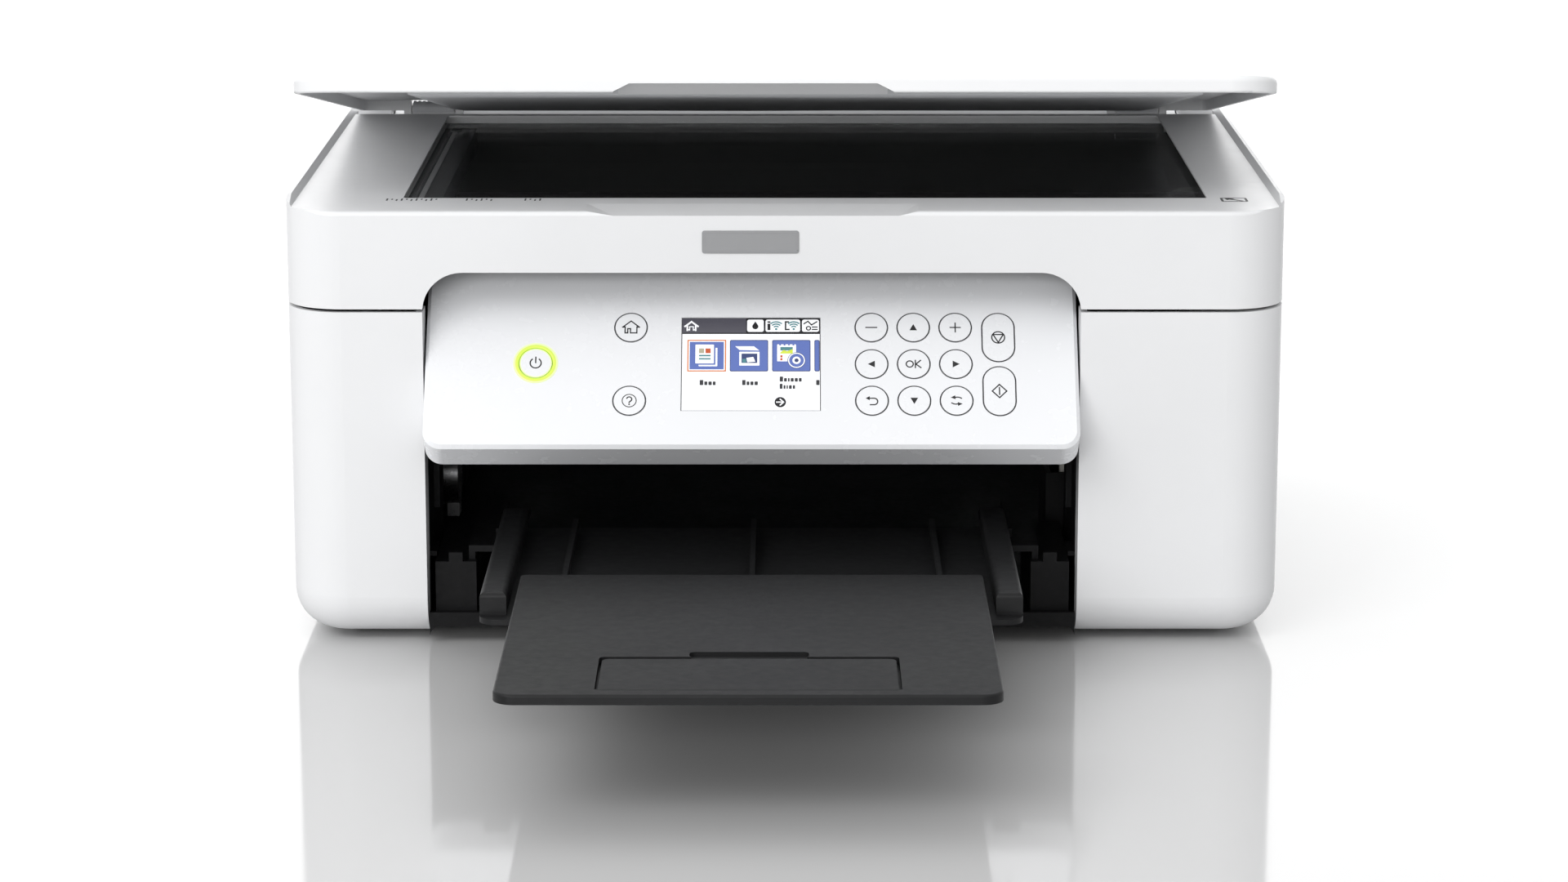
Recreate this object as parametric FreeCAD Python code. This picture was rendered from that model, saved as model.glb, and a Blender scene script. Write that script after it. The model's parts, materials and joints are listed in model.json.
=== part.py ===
"""Inkjet all-in-one printer: a flat-bed scanner unit with a lid on top of a front-delivery,
rear-fed inkjet mechanism, with a tilting control panel and a pull-out output tray.

Everything is modelled in millimetres in a build frame whose Y starts at the front face of the
body (X to the right, Y to the back, Z up from the table) and is shifted once, on export, so that
the origin lies at the bottom centre of the printer's bounding box with the tray pulled out.
"""

import FreeCAD, Part
import math
import os

Vec = FreeCAD.Vector

# ---------------------------------------------------------------- driving dimensions
HALF_WIDTH = 187.0          # half of the body's width
BODY_DEPTH = 300.0          # front face to rear face
FOOT_HEIGHT = 2.5           # rubber feet, so also the height of the casing's underside
SEAM_Z = 128.6              # split between the lower housing and the scanner unit
SEAM_GAP = 1.2
DECK_Z = 166.0              # flat deck around the scanner glass
RIM_Z = 168.6               # side rims that the lid nests between
WALL = 2.5                  # casing wall
CORNER_R = 22.0             # vertical corners at the front
REAR_CORNER_R = 20.0
BELLY_R = 16.0              # rounding along the casing's bottom edges

SLOT_LEFT = -135.0          # opening between the two front pillars
SLOT_RIGHT = 110.0
PATH_X = -12.0              # centre line of the paper path
ARCH_TOP = 143.0            # arch in the scanner unit's front apron, over the panel
ARCH_R = 15.0

SCAN_DEPTH = 265.0          # scanner unit, front to back
SCAN_HINGE = (277.0, 160.0)     # y, z of the scanner unit's hinge
TOWER_FRONT = 269.0         # rear feeder tower
TOWER_TOP = 167.0
FEED_SLOT = (273.2, 294.0)      # front and rear edges of the paper slot in the tower's top
GUARD_HINGE = (275.6, 164.7)    # y, z of the hinge of the flap over the slot
GLASS_X = (-144.0, 159.0)   # clear opening over the glass
GLASS_Y = (31.0, 247.0)
GLASS_TOP = 165.2           # the glass lies in a rebate under the deck's thin lip
TROUGH_Z = 162.0            # lowered strip behind the glass, for the lid's hinges
TROUGH_Y = 252.0

LID_HALF_WIDTH = 183.2
LID_Y = (0.8, 263.5)
LID_Z = (166.6, 173.0)
LID_HINGE = (259.0, 167.2)
LID_REST_DEG = 9.6          # the lid stands ajar at rest
POST_X = (142.0, 160.0)     # hinge posts, measured from the centre line

PANEL_TILT_DEG = 39.0       # from vertical, at rest
PANEL_FOOT = (-22.0, 81.5)  # y, z of the face's bottom edge at rest
PANEL_X = (-134.2, 109.2)
PANEL_HEIGHT = 80.0         # along the face
PANEL_THICK = 15.0
PANEL_PIVOT = (46.5, 16.4)  # along the face from its bottom edge, and behind the face

KEY_R = 6.05                # round keys
KEY_GAP = 0.3
KEY_ROWS = (19.4, 34.7, 50.1)
KEY_COLUMNS = (32.2, 47.9, 63.6)
TALL_KEY_X = 79.6
TALL_KEY_HEIGHT = 20.4
POWER_KEY = (-93.0, 35.1)
SCREEN_X = (-38.8, 13.2)
SCREEN_S = (15.2, 54.4)

TRAY_REACH = 228.0          # how far the extended tray stands in front of the body
EXTENSION_X = (-95.0, 71.0)
EXTENSION_Z = (42.8, 46.2)
STOPPER_HINGE = (-220.0, 44.8)  # y, z of the paper stopper's hinge
TRAY_X = (-108.0, 84.0)
TRAY_Z = (36.2, 46.4)
TRAY_Y = (-105.0, 30.0)

ROLLER_Z = 54.5             # feed roller, idler and exit roller centres
FEED_Y = 152.0
GEAR_MODULE = 0.8
FEED_TEETH, IDLER_TEETH, EXIT_TEETH, PINION_TEETH = 45, 34, 36, 12
FRAME_X = 160.0             # outer faces of the sheet-metal frame's side plates
SHEET = 1.5

CARRIAGE_X = (96.0, 156.0)  # print carriage, parked at the right
CARRIAGE_Y = (100.0, 150.0)
ROD = (158.0, 88.0, 4.0)    # carriage guide rod: y, z, radius
BELT_Z = 106.0
SUPPORT_TOP = (290.0, 166.6)    # y, z of the stowed paper support's top edge
SUPPORT_LEAN_DEG = 10.0

ROW_SHIFT_Y = -(BODY_DEPTH - TRAY_REACH) / 2.0

X_AXIS, Y_AXIS, Z_AXIS = Vec(1, 0, 0), Vec(0, 1, 0), Vec(0, 0, 1)
ORIGIN = Vec(0, 0, 0)


# ---------------------------------------------------------------- shape helpers
def box(x0, x1, y0, y1, z0, z1):
    return Part.makeBox(x1 - x0, y1 - y0, z1 - z0, Vec(x0, y0, z0))


def rod_x(x0, x1, y, z, radius):
    return Part.makeCylinder(radius, x1 - x0, Vec(x0, y, z), X_AXIS)


def rod_y(y0, y1, x, z, radius):
    return Part.makeCylinder(radius, y1 - y0, Vec(x, y0, z), Y_AXIS)


def rod_z(z0, z1, x, y, radius):
    return Part.makeCylinder(radius, z1 - z0, Vec(x, y, z0), Z_AXIS)


def prism_x(points_yz, x0, x1):
    corners = [Vec(x0, y, z) for y, z in points_yz]
    return Part.Face(Part.makePolygon(corners + corners[:1])).extrude(Vec(x1 - x0, 0, 0))


def prism_y(points_xz, y0, y1):
    corners = [Vec(x, y0, z) for x, z in points_xz]
    return Part.Face(Part.makePolygon(corners + corners[:1])).extrude(Vec(0, y1 - y0, 0))


def plan_block(x0, x1, y0, y1, z0, z1, front_r, rear_r):
    """A block with its four vertical corners rounded."""
    corners = [(x0, y0, 180, front_r), (x1, y0, 270, front_r), (x1, y1, 0, rear_r), (x0, y1, 90, rear_r)]
    edges, last = [], None
    for x, y, start_deg, radius in corners:
        centre = Vec(x + radius if x == x0 else x - radius, y + radius if y == y0 else y - radius, z0)
        arc = Part.makeCircle(radius, centre, Z_AXIS, start_deg, start_deg + 90)
        if last is not None:
            edges.append(Part.makeLine(last, arc.Vertexes[0].Point))
        edges.append(arc)
        last = arc.Vertexes[-1].Point
    edges.append(Part.makeLine(last, edges[0].Vertexes[0].Point))
    return Part.Face(Part.Wire(edges)).extrude(Vec(0, 0, z1 - z0))


def front_block(x0, x1, y0, y1, z0, z1, bottom_r, top_r):
    """A block with rounded corners as seen from the front, extruded along Y."""
    flat = plan_block(x0, x1, z0, z1, 0, y1 - y0, bottom_r, top_r)
    flat.rotate(ORIGIN, X_AXIS, 90)
    flat.translate(Vec(0, y1, 0))
    return flat


def rounded(shape, radius, wanted, flat=False):
    """Fillets or chamfers the edges that wanted(edge) picks, and leaves the shape alone where that fails."""
    edges = [e for e in shape.Edges if wanted(e)]
    if not edges:
        return shape
    try:
        result = shape.makeChamfer(radius, edges) if flat else shape.makeFillet(radius, edges)
    except Exception:
        return shape
    return result if result.isValid() and result.Volume > 0 else shape


def level_edges(z, tolerance=0.01):
    """Picks the edges that lie in a horizontal plane."""
    return lambda e: abs(e.BoundBox.ZMin - z) < tolerance and abs(e.BoundBox.ZMax - z) < tolerance


def upright_edges(e):
    box_ = e.BoundBox
    return box_.ZLength > 0.5 and box_.XLength < 0.01 and box_.YLength < 0.01


def fuse(first, *others):
    return first.fuse(list(others)).removeSplitter()


def gear_points(teeth, phase_deg, centre_y, centre_z, backlash=0.16):
    """The outline of an involute spur gear, four points to a flank, in the YZ plane."""
    pitch_r = GEAR_MODULE * teeth / 2
    base_r = pitch_r * math.cos(math.radians(20))
    tip_r, root_r = pitch_r + 0.9 * GEAR_MODULE, pitch_r - 1.2 * GEAR_MODULE
    involute = lambda a: math.tan(a) - a
    half_tooth = math.pi / (2 * teeth) - backlash / (2 * pitch_r) + involute(math.radians(20))
    low_r = max(base_r, root_r) + 0.001
    flank = [low_r + (tip_r - low_r) * k / 3 for k in range(4)]
    half_angles = [half_tooth - involute(math.acos(min(1.0, base_r / r))) for r in flank]
    points = []
    for tooth in range(teeth):
        middle = math.radians(phase_deg) + 2 * math.pi * tooth / teeth
        side = [(root_r, half_angles[0])] + list(zip(flank, half_angles))
        outline = [(r, -a) for r, a in side] + [(r, a) for r, a in reversed(side)]
        points += [(r, middle + a) for r, a in outline]
    return [(centre_y + r * math.cos(a), centre_z + r * math.sin(a)) for r, a in points]


def gear(teeth, phase_deg, centre_y, centre_z, x0, x1, bore_r):
    """A spur gear about an X axis, with a many-sided bore just larger than its shaft."""
    sides = 24
    reach = (bore_r + 0.03) / math.cos(math.pi / sides)
    bore = [(centre_y + reach * math.cos(2 * math.pi * k / sides),
             centre_z + reach * math.sin(2 * math.pi * k / sides)) for k in range(sides)]
    blank = prism_x(gear_points(teeth, phase_deg, centre_y, centre_z), x0, x1)
    return blank.cut(prism_x(bore, x0 - 1, x1 + 1))


def on_panel(shape):
    """Moves a shape built upright, face at y = 0 and bottom edge at z = 0, to the tilted panel."""
    placed = shape.copy()
    placed.rotate(ORIGIN, X_AXIS, -PANEL_TILT_DEG)
    placed.translate(Vec(0, *PANEL_FOOT))
    return placed


def on_support(shape):
    """Moves a shape built upright, with the paper support's top edge at the origin, to its lean."""
    placed = shape.copy()
    placed.rotate(ORIGIN, X_AXIS, -SUPPORT_LEAN_DEG)
    placed.translate(Vec(0, *SUPPORT_TOP))
    return placed


def ajar(shape):
    """Opens a lid part, built shut, to the angle at which the lid rests."""
    placed = shape.copy()
    placed.rotate(Vec(0, *LID_HINGE), X_AXIS, -LID_REST_DEG)
    return placed


NODES = {}


def node(name, *solids):
    NODES[name] = list(solids)


# ---------------------------------------------------------------- casing
def outer_housing():
    """White lower casing: two front pillars, sides, back and the rear feeder tower in one moulding."""
    top = SEAM_Z - SEAM_GAP / 2
    outer = plan_block(-HALF_WIDTH, HALF_WIDTH, 0, BODY_DEPTH, FOOT_HEIGHT, top, CORNER_R, REAR_CORNER_R)
    outer = rounded(outer, BELLY_R, level_edges(FOOT_HEIGHT))
    inner = plan_block(WALL - HALF_WIDTH, HALF_WIDTH - WALL, WALL, BODY_DEPTH - WALL, FOOT_HEIGHT + WALL,
                       top + 1, CORNER_R - WALL, REAR_CORNER_R - WALL)
    inner = rounded(inner, BELLY_R - WALL, level_edges(FOOT_HEIGHT + WALL))
    shell = outer.cut(inner)
    shell = shell.cut(box(SLOT_LEFT, SLOT_RIGHT, -1, 14, 0, top + 1))
    shell = shell.cut(box(-165, 165, 20, 280, 0, 6)).cut(box(SLOT_LEFT, SLOT_RIGHT, 13, 21, 0, 6))
    returns = [outer.common(box(x0, x1, 0.6, 13.5, 0, top))
               for x0, x1 in ((SLOT_LEFT - WALL, SLOT_LEFT), (SLOT_RIGHT, SLOT_RIGHT + WALL))]
    shell = fuse(shell, *returns)
    for x, side in ((SLOT_LEFT, -1), (SLOT_RIGHT, 1)):
        low, high = sorted((x + side * 2.4, x - side * 0.2))
        corner = box(low, high, -1, 13.8, FOOT_HEIGHT - 0.2, FOOT_HEIGHT + 2.4)
        shell = shell.cut(corner.cut(rod_y(-2, 15, x + side * 2.4, FOOT_HEIGHT + 2.4, 2.4)))

    tower = plan_block(-HALF_WIDTH, HALF_WIDTH, TOWER_FRONT, BODY_DEPTH,
                       top - 1, TOWER_TOP, 3, REAR_CORNER_R)
    tower = rounded(tower, 2.0, level_edges(TOWER_TOP))
    hollow = plan_block(WALL - HALF_WIDTH, HALF_WIDTH - WALL, TOWER_FRONT + WALL, BODY_DEPTH - WALL,
                        top - 2, TOWER_TOP - WALL, 1, REAR_CORNER_R - WALL)
    tower = tower.cut(hollow).cut(box(-122, 98, FEED_SLOT[0], FEED_SLOT[1], TOWER_TOP - 5, TOWER_TOP + 1))
    guard_y, guard_z = GUARD_HINGE
    for x0, x1 in ((-125.6, -121.9), (97.9, 101.6)):
        lug = box(x0, x1, guard_y - 3, guard_y + 3, 160.5, TOWER_TOP - 2)
        tower = tower.fuse(lug).cut(rod_x(x0 - 0.1, x1 + 0.1, guard_y, guard_z, 1.25))
    hinge_y, hinge_z = SCAN_HINGE
    for side in (-1, 1):
        inboard, outboard = sorted((side * 170, side * (HALF_WIDTH - WALL + 0.5)))
        boss = rod_x(inboard, outboard, hinge_y, hinge_z, 5)
        low, high = sorted((side * 169, side * 176))
        tower = tower.fuse(boss).cut(rod_x(low, high, hinge_y, hinge_z, 2.56))
        low, high = sorted((side * 162.5, side * 170.4))
        tower = tower.cut(box(low, high, TOWER_FRONT - 1, TOWER_FRONT + WALL + 0.01, 147, TOWER_TOP + 1))
        tower = tower.cut(box(low, high, TOWER_FRONT, hinge_y + 2, hinge_z + 3, TOWER_TOP + 1))
    stay_rest = prism_x([(110, 99), (121, 99), (134, 90.6), (134, 86), (110, 86)],
                        170, HALF_WIDTH - WALL + 0.2)
    stay_stop = box(170, HALF_WIDTH - WALL + 0.2, 110, 113, 98.9, 103)
    shell = fuse(shell, tower, stay_rest, stay_stop)

    shell = shell.cut(box(-112, 88, 296, 301, 42, 118))
    shell = shell.cut(box(-171, -151, 296, 301, 22, 34))
    shell = shell.cut(box(150.6, 163.4, 296, 301, 22.2, 34.8))
    for row in range(6):
        z = 58 + row * 7
        shell = shell.cut(front_block(118, 160, 296, 301, z, z + 2.6, 1.2, 1.2))
    return shell


def base_tray():
    """Black chassis tray: floor, low lip, front sill and the two blocks that guide the output tray."""
    floor = box(-170, 170, 16.5, 283.5, 5.2, 7.7)
    skirt = box(-164.5, 164.5, 20.5, 279.5, FOOT_HEIGHT, 5.3).cut(box(-124, 124, 46, 254, 0, 5.2))
    left, right = SLOT_LEFT + 0.5, SLOT_RIGHT - 0.5
    nose = box(left, right, 2.5, 20, 6.6, 9.0)
    sill = box(left, right, 2.5, 5, 6.6, 12)
    gussets = [box(left, left + 4, 2.5, 5, 3.2, 6.7).cut(rod_y(2, 6, left + 4, 2.7, 4)),
               box(right - 4, right, 2.5, 5, 3.2, 6.7).cut(rod_y(2, 6, right - 4, 2.7, 4))]
    lips = [box(-170, -168, 16.5, 283.5, 7.6, 12), box(168, 170, 16.5, 283.5, 7.6, 12),
            box(-168, 168, 281.5, 283.5, 7.6, 12)]
    blocks = []
    for x0, x1, side in ((-132.5, -117.0, 1), (93.0, 107.5, -1)):
        inner = x1 if side > 0 else x0
        centre = (x0 + x1) / 2
        tower = box(x0, x1, 8, 74, 7.6, 30.5).cut(box(x0 + 2, x1 - 2, 10, 72, 7.6, 28.5))
        tab = box(centre - 2.6, centre + 2.6, 8, 11, 30.4, 34)
        low, high = sorted((inner - side * 0.6, inner - side * 3.0))
        web = box(low, high, 12, 74, 30.4, 35.8)
        low, high = sorted((inner - side * 3.0, -100 if side > 0 else 76))
        ledge = box(low, high, 12, 74, 33.4, 35.8)
        low, high = sorted((-108 - 2.6, -108 - 0.6) if side > 0 else (84 + 0.6, 84 + 2.6))
        rail = box(low, high, 26, 74, 35.7, 39)
        blocks += [tower, tab, web, ledge, rail]
    return fuse(floor, skirt, nose, sill, *gussets, *lips, *blocks)


def slot_frame():
    """Black inner frame behind the pillars: cheeks with the panel's bearings, a ceiling and a back wall."""
    top = SEAM_Z - 2.6
    cheeks = [box(SLOT_LEFT - 2.4, SLOT_LEFT - 0.2, 14.3, 84, 8, top),
              box(SLOT_RIGHT + 0.2, SLOT_RIGHT + 2.4, 14.3, 84, 8, top)]
    ceiling = box(SLOT_LEFT - 2.4, SLOT_RIGHT + 2.4, 62, 84, 98, 100.2)
    back = box(SLOT_LEFT - 2.4, SLOT_RIGHT + 2.4, 84, 86.2, 70, top)
    ribs = [box(SLOT_LEFT - 0.3, SLOT_LEFT + 2, 40, 42, 44, 98),
            box(SLOT_RIGHT - 2, SLOT_RIGHT + 0.3, 40, 42, 44, 98)]
    ledges = [box(SLOT_LEFT - 0.3, SLOT_LEFT + 2.6, 14.3, 30, 31.2, 33),
              box(SLOT_RIGHT - 2.6, SLOT_RIGHT + 0.3, 14.3, 30, 31.2, 33)]
    frame = fuse(cheeks[0], cheeks[1], ceiling, back, *ribs, *ledges)
    pivot = panel_pivot()
    return frame.cut(rod_x(SLOT_LEFT - 5, SLOT_RIGHT + 5, pivot.y, pivot.z, 3.06))


def rubber_feet():
    feet = []
    for x in (-141, 141):
        for y in (26, 262):
            pad = plan_block(x - 11, x + 11, y, y + 12, 0, FOOT_HEIGHT, 4, 4)
            feet.append(rounded(pad, 0.6, level_edges(0)))
    return feet


def duplexer_cover():
    """Rear cover over the two-sided print path, which pulls off backwards."""
    plate = front_block(-111.2, 87.2, 297.6, BODY_DEPTH, 42.8, 117.2, 5, 5)
    rim = front_block(-108.5, 84.5, 288, 297.7, 46, 114, 3, 3)
    rim = rim.cut(front_block(-106.3, 82.3, 287, 297.6, 48.2, 111.8, 2, 2))
    cover = fuse(plate, rim)
    for x in (-100, 76):
        cover = cover.cut(front_block(x - 7, x + 7, 298.6, 301, 70, 90, 3, 3))
    return cover


# ---------------------------------------------------------------- print mechanism
def main_frame():
    """Folded sheet-metal frame: back plate, top flange and two side plates with bearings."""
    back = box(-FRAME_X, FRAME_X, 170, 171.5, 68, 121)
    flange = box(-FRAME_X, FRAME_X, 154, 171.5, 121 - SHEET, 121)
    sides = [box(-FRAME_X, SHEET - FRAME_X, 87, 171.5, 18, 121),
             box(FRAME_X - SHEET, FRAME_X, 87, 171.5, 18, 121)]
    frame = fuse(back, flange, *sides)
    exit_y = exit_roller_y()
    shaft_holes = ((FEED_Y, ROLLER_Z, 4.06), (exit_y, ROLLER_Z, 3.06), (ROD[0], ROD[1], ROD[2] + 0.02))
    for y, z, radius in shaft_holes:
        frame = frame.cut(rod_x(-FRAME_X - 1, FRAME_X + 1, y, z, radius))
    pinion_y, pinion_z = pinion_centre()
    frame = frame.cut(rod_x(-FRAME_X - 1, -FRAME_X + 3, pinion_y, pinion_z, 3.0))
    post = rod_x(-FRAME_X - 10, SHEET - FRAME_X, idler_y(), ROLLER_Z, 2.5)
    frame = frame.fuse(post).cut(rod_y(169, 173, 148, BELT_Z, 4))
    for x in (-90, -30, 30, 90):
        frame = frame.cut(front_block(x - 18, x + 18, 169, 173, 92, 108, 4, 4))
    return frame.removeSplitter()


def idler_y():
    return FEED_Y - GEAR_MODULE * (FEED_TEETH + IDLER_TEETH) / 2


def exit_roller_y():
    return idler_y() - GEAR_MODULE * (IDLER_TEETH + EXIT_TEETH) / 2


def pinion_centre():
    return FEED_Y, ROLLER_Z - GEAR_MODULE * (FEED_TEETH + PINION_TEETH) / 2


def platen():
    """Ribbed bed under the print head."""
    bed = box(PATH_X - 113, PATH_X + 113, 101, 144.5, 54, 58)
    bed = bed.cut(box(PATH_X - 108, PATH_X + 108, 112, 134, 55.5, 59))
    ribs = [box(PATH_X - 104.6 + 16 * k, PATH_X - 103.4 + 16 * k, 103, 143, 55.4, 60.5) for k in range(14)]
    return fuse(bed, *ribs)


def feed_roller():
    core = rod_x(-170, 163, FEED_Y, ROLLER_Z, 4)
    coated = rod_x(PATH_X - 114, PATH_X + 114, FEED_Y, ROLLER_Z, 6)
    wheel = gear(FEED_TEETH, 180, FEED_Y, ROLLER_Z, -168, -162, 4)
    return [core.fuse(coated).removeSplitter(), wheel]


def exit_roller():
    y = exit_roller_y()
    core = rod_x(-170, 162, y, ROLLER_Z, 3)
    tyres = [rod_x(PATH_X - 100 + 36 * k, PATH_X - 92 + 36 * k, y, ROLLER_Z, 5.5) for k in range(6)]
    wheel = gear(EXIT_TEETH, 0, y, ROLLER_Z, -168, -162, 3)
    return [core.fuse(tyres).removeSplitter(), wheel]


def idler_gear():
    return gear(IDLER_TEETH, 180.0 / IDLER_TEETH, idler_y(), ROLLER_Z, -168, -162, 2.56)


def feed_pinion():
    y, z = pinion_centre()
    quarter_pitch_turn = 0.25 * 360 / PINION_TEETH
    wheel = gear(PINION_TEETH, 90 + quarter_pitch_turn + 180.0 / PINION_TEETH, y, z, -168, -162, 1.5)
    return [wheel, rod_x(-168, -140, y, z, 1.5)]


def feed_motor():
    y, z = pinion_centre()
    can = rod_x(SHEET - FRAME_X, -134, y, z, 13).cut(rod_x(-FRAME_X, -139, y, z, 1.56))
    terminal = box(-139, -134, y - 6, y + 6, z - 17, z - 10)
    return fuse(can, terminal)


def carriage_motor():
    can = rod_y(171.5, 196, 148, BELT_Z, 14).cut(rod_y(171, 186, 148, BELT_Z, 1.56))
    return fuse(can, box(142, 154, 190, 196, BELT_Z - 18, BELT_Z - 10))


def motor_pulley():
    pulley = rod_y(162.6, 168.4, 148, BELT_Z, 5.3)
    return pulley.fuse(rod_y(160.6, 185, 148, BELT_Z, 1.5)).removeSplitter()


def carriage_belt():
    """Toothed belt loop that draws the carriage, and the bracketed pulley at its far end."""
    def loop(radius):
        run = box(-148, 148, 163, 168, BELT_Z - radius, BELT_Z + radius)
        return fuse(run, rod_y(163, 168, -148, BELT_Z, radius), rod_y(163, 168, 148, BELT_Z, radius))
    return loop(6.5).cut(loop(5.5))


def print_carriage():
    """Open-topped carriage with four cartridge bays, rod bearing, belt clamp and top slider."""
    x0, x1 = CARRIAGE_X
    y0, y1 = CARRIAGE_Y
    body = box(x0, x1, y0, y1, 64, 114)
    body = rounded(body, 3, upright_edges)
    body = body.cut(box(x0 + 2, x1 - 2, y0 + 2, y1 - 2, 67, 115))
    bay = (x1 - x0 - 4) / 4.0
    dividers = [box(x0 + 2 + bay * k - 0.5, x0 + 2 + bay * k + 0.5, y0 + 1.9, y1 - 1.9, 66.9, 98)
                for k in (1, 2, 3)]
    bearing = box(x0 + 4, x1 - 4, y1 - 0.1, 165, 80, 96)
    slider = box(x0 + 16, x1 - 16, y1 - 0.1, 161, 95.9, 98.6)
    hook = box(x0 + 20, x1 - 20, y1 - 0.1, 158, 112, 118.4)
    clamp = box(x0 + 22, x1 - 22, 160.9, 168.6, 96, 102.2).cut(box(x0, x1, 162.6, 170, 99.1, 100.9))
    clamp_foot = box(x0 + 22, x1 - 22, 158, 161, 95.5, 102.2)
    body = fuse(body, *dividers, bearing, slider, hook, clamp_foot, clamp)
    return body.cut(rod_x(x0, x1, ROD[0], ROD[1], ROD[2] + 0.06))


def print_head():
    x = sum(CARRIAGE_X) / 2
    plate = box(x - 18, x + 18, 108, 134, 61.8, 63.99)
    return rounded(plate, 0.8, upright_edges)


def ink_cartridges():
    """Four slim cartridges side by side, each with a grip tab on its front."""
    cartridges = []
    x0, x1 = CARRIAGE_X
    bay = (x1 - x0 - 4) / 4.0
    for k in range(4):
        middle = x0 + 2 + bay * (k + 0.5)
        tank = box(middle - 6.1, middle + 6.1, 103, 147, 67.4, 116)
        tank = rounded(tank, 1.2, upright_edges)
        tank = tank.cut(box(middle - 7, middle + 7, 102, 110, 110, 117))
        tab = box(middle - 4.5, middle + 4.5, 104, 111, 109.9, 119)
        cartridges.append(fuse(tank, tab))
    return cartridges


def maintenance_station():
    """Open box under the parked carriage with the pump that sucks ink through the cap."""
    tub = box(104, 150, 98, 142, 8, 44).cut(box(106, 148, 100, 140, 10, 45))
    pump = rod_x(106, 130, 120, 20, 9)
    return fuse(tub, pump)


def cap_sled():
    """Sled that lifts the rubber cap against the print head."""
    sled = box(109, 143, 104, 137, 46, 56)
    sled = fuse(sled, *[box(x, x + 4, 106, 112, 33, 46.1) for x in (110, 138)])
    return fuse(sled, box(110, 142, 107.5, 134.5, 55.9, 61.4).cut(box(112, 140, 109.5, 132.5, 57, 62)))


def feeder_frame():
    """Rear paper feeder: cheeks, leaning back plate and the guide down to the feed roller."""
    outline = [(246, 58), (268, 58), (271, 76), (287.4, 164),
               (277.2, 164), (273.4, 128.5), (262, 116), (246, 104)]
    cheeks = [prism_x(outline, -128, -126), prism_x(outline, 102, 104)]
    back = on_support(box(-126.1, 102.1, -4.2, -2.2, -104, -3))
    guide = box(-128, 104, 174, 272.6, 56, 58.2)
    back = back.common(box(-130, 110, 200, 300, 56, 164))
    channels = []
    for wall_x, lip_x in ((-102.6, -96.0), (76.4, 72.0)):
        wall = box(wall_x, wall_x + 2.2, -2.3, 3.0, -98, -30)
        lip = box(min(wall_x, lip_x), max(wall_x + 2.2, lip_x), 1.6, 3.0, -98, -30)
        channels.append(on_support(fuse(wall, lip)))
    frame = fuse(cheeks[0], cheeks[1], guide, back, *channels)
    return frame.cut(rod_x(-130, 110, 254.5, 84, 3.06))


def pickup_roller():
    core = rod_x(-127.6, 103.6, 254.5, 84, 3)
    tyre = rod_x(PATH_X - 16, PATH_X + 16, 254.5, 84, 14)
    return core.fuse(tyre).removeSplitter()


def paper_support():
    """Plate that draws up out of the tower to hold the stack of paper."""
    plate = front_block(-100, 76, -1.25, 1.25, -92, 0, 4, 8)
    grip = front_block(-30, 6, -1.8, 1.25, -9, -4, 2, 2)
    grooves = [front_block(x - 2, x + 2, -2, -0.65, -86, -14, 1.5, 1.5) for x in (-72, -42, 18, 48)]
    for groove in grooves:
        plate = plate.cut(groove)
    return on_support(fuse(plate, grip))


def edge_guide(side):
    """Upright that squares the stack; the left and right ones slide together."""
    inner = PATH_X + side * 108.3
    outer = inner + side * 2.2
    low, high = sorted((inner, outer))
    fence = box(low, high, -10.6, -4.6, -82, -9)
    reach = sorted((inner, inner - side * 18))
    foot = box(reach[0], reach[1], -6.2, -4.6, -82, -66)
    return on_support(fuse(fence, foot))


def feeder_guard():
    y, z = GUARD_HINGE
    flap = box(-121.2, 97.2, y, 283.6, z - 0.8, z + 0.7)
    return fuse(flap, rod_x(-125.2, 101.2, y, z, 1.2))


# ---------------------------------------------------------------- electronics
def main_board():
    """Circuit board with its chips and the square data socket at the rear edge."""
    board = box(118, 176, 182, 294, 20.8, 22.4)
    chips = [box(128, 144, 200, 216, 22.4, 24.0), box(150, 160, 196, 210, 22.4, 24.4),
             box(130, 140, 232, 242, 22.4, 28), box(150, 166, 226, 236, 22.4, 25)]
    socket = box(151, 163, 282, 299.4, 22.4, 34.4).cut(box(152.8, 161.2, 287, 300, 24.6, 32.4))
    standoffs = [rod_z(7.7, 20.8, x, y, 2.5) for x in (122, 165) for y in (188, 270)]
    return [board, *chips, socket, *standoffs]


def power_supply():
    """Boxed supply with the two-pin mains inlet at the rear."""
    case = box(-178, -136, 205, 281, 14, 60)
    case = rounded(case, 2, upright_edges)
    inlet = box(-170.4, -151.6, 280.9, 299.4, 22.6, 33.4)
    pocket = front_block(-168.6, -153.4, 286, 300, 24.4, 31.6, 3.4, 3.4)
    pins = [rod_y(285.5, 296, -161 + dx, 28, 1.2) for dx in (-4.6, 4.6)]
    return fuse(case, inlet).cut(pocket).fuse(pins).removeSplitter()


# ---------------------------------------------------------------- output tray
def output_tray():
    """First stage of the output tray: floor with ribs between two side rails and a rounded front lip."""
    x0, x1 = TRAY_X
    y0, y1 = TRAY_Y
    z0, z1 = TRAY_Z
    floor = plan_block(x0, x1, y0, y1, z0, z0 + 2, 6, 1)
    rails = [box(x0, x0 + 9.5, y0 + 6, y1, z0 + 1.9, z1), box(x1 - 9.5, x1, y0 + 6, y1, z0 + 1.9, z1)]
    rails = [rounded(r, 2.0, level_edges(z1)) for r in rails]
    ribs = [box(x - 1, x + 1, y0 + 4, y1 - 2, z0 + 1.9, EXTENSION_Z[0] - 0.3) for x in (-80, PATH_X, 56)]
    return fuse(floor, *rails, *ribs)


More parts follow.
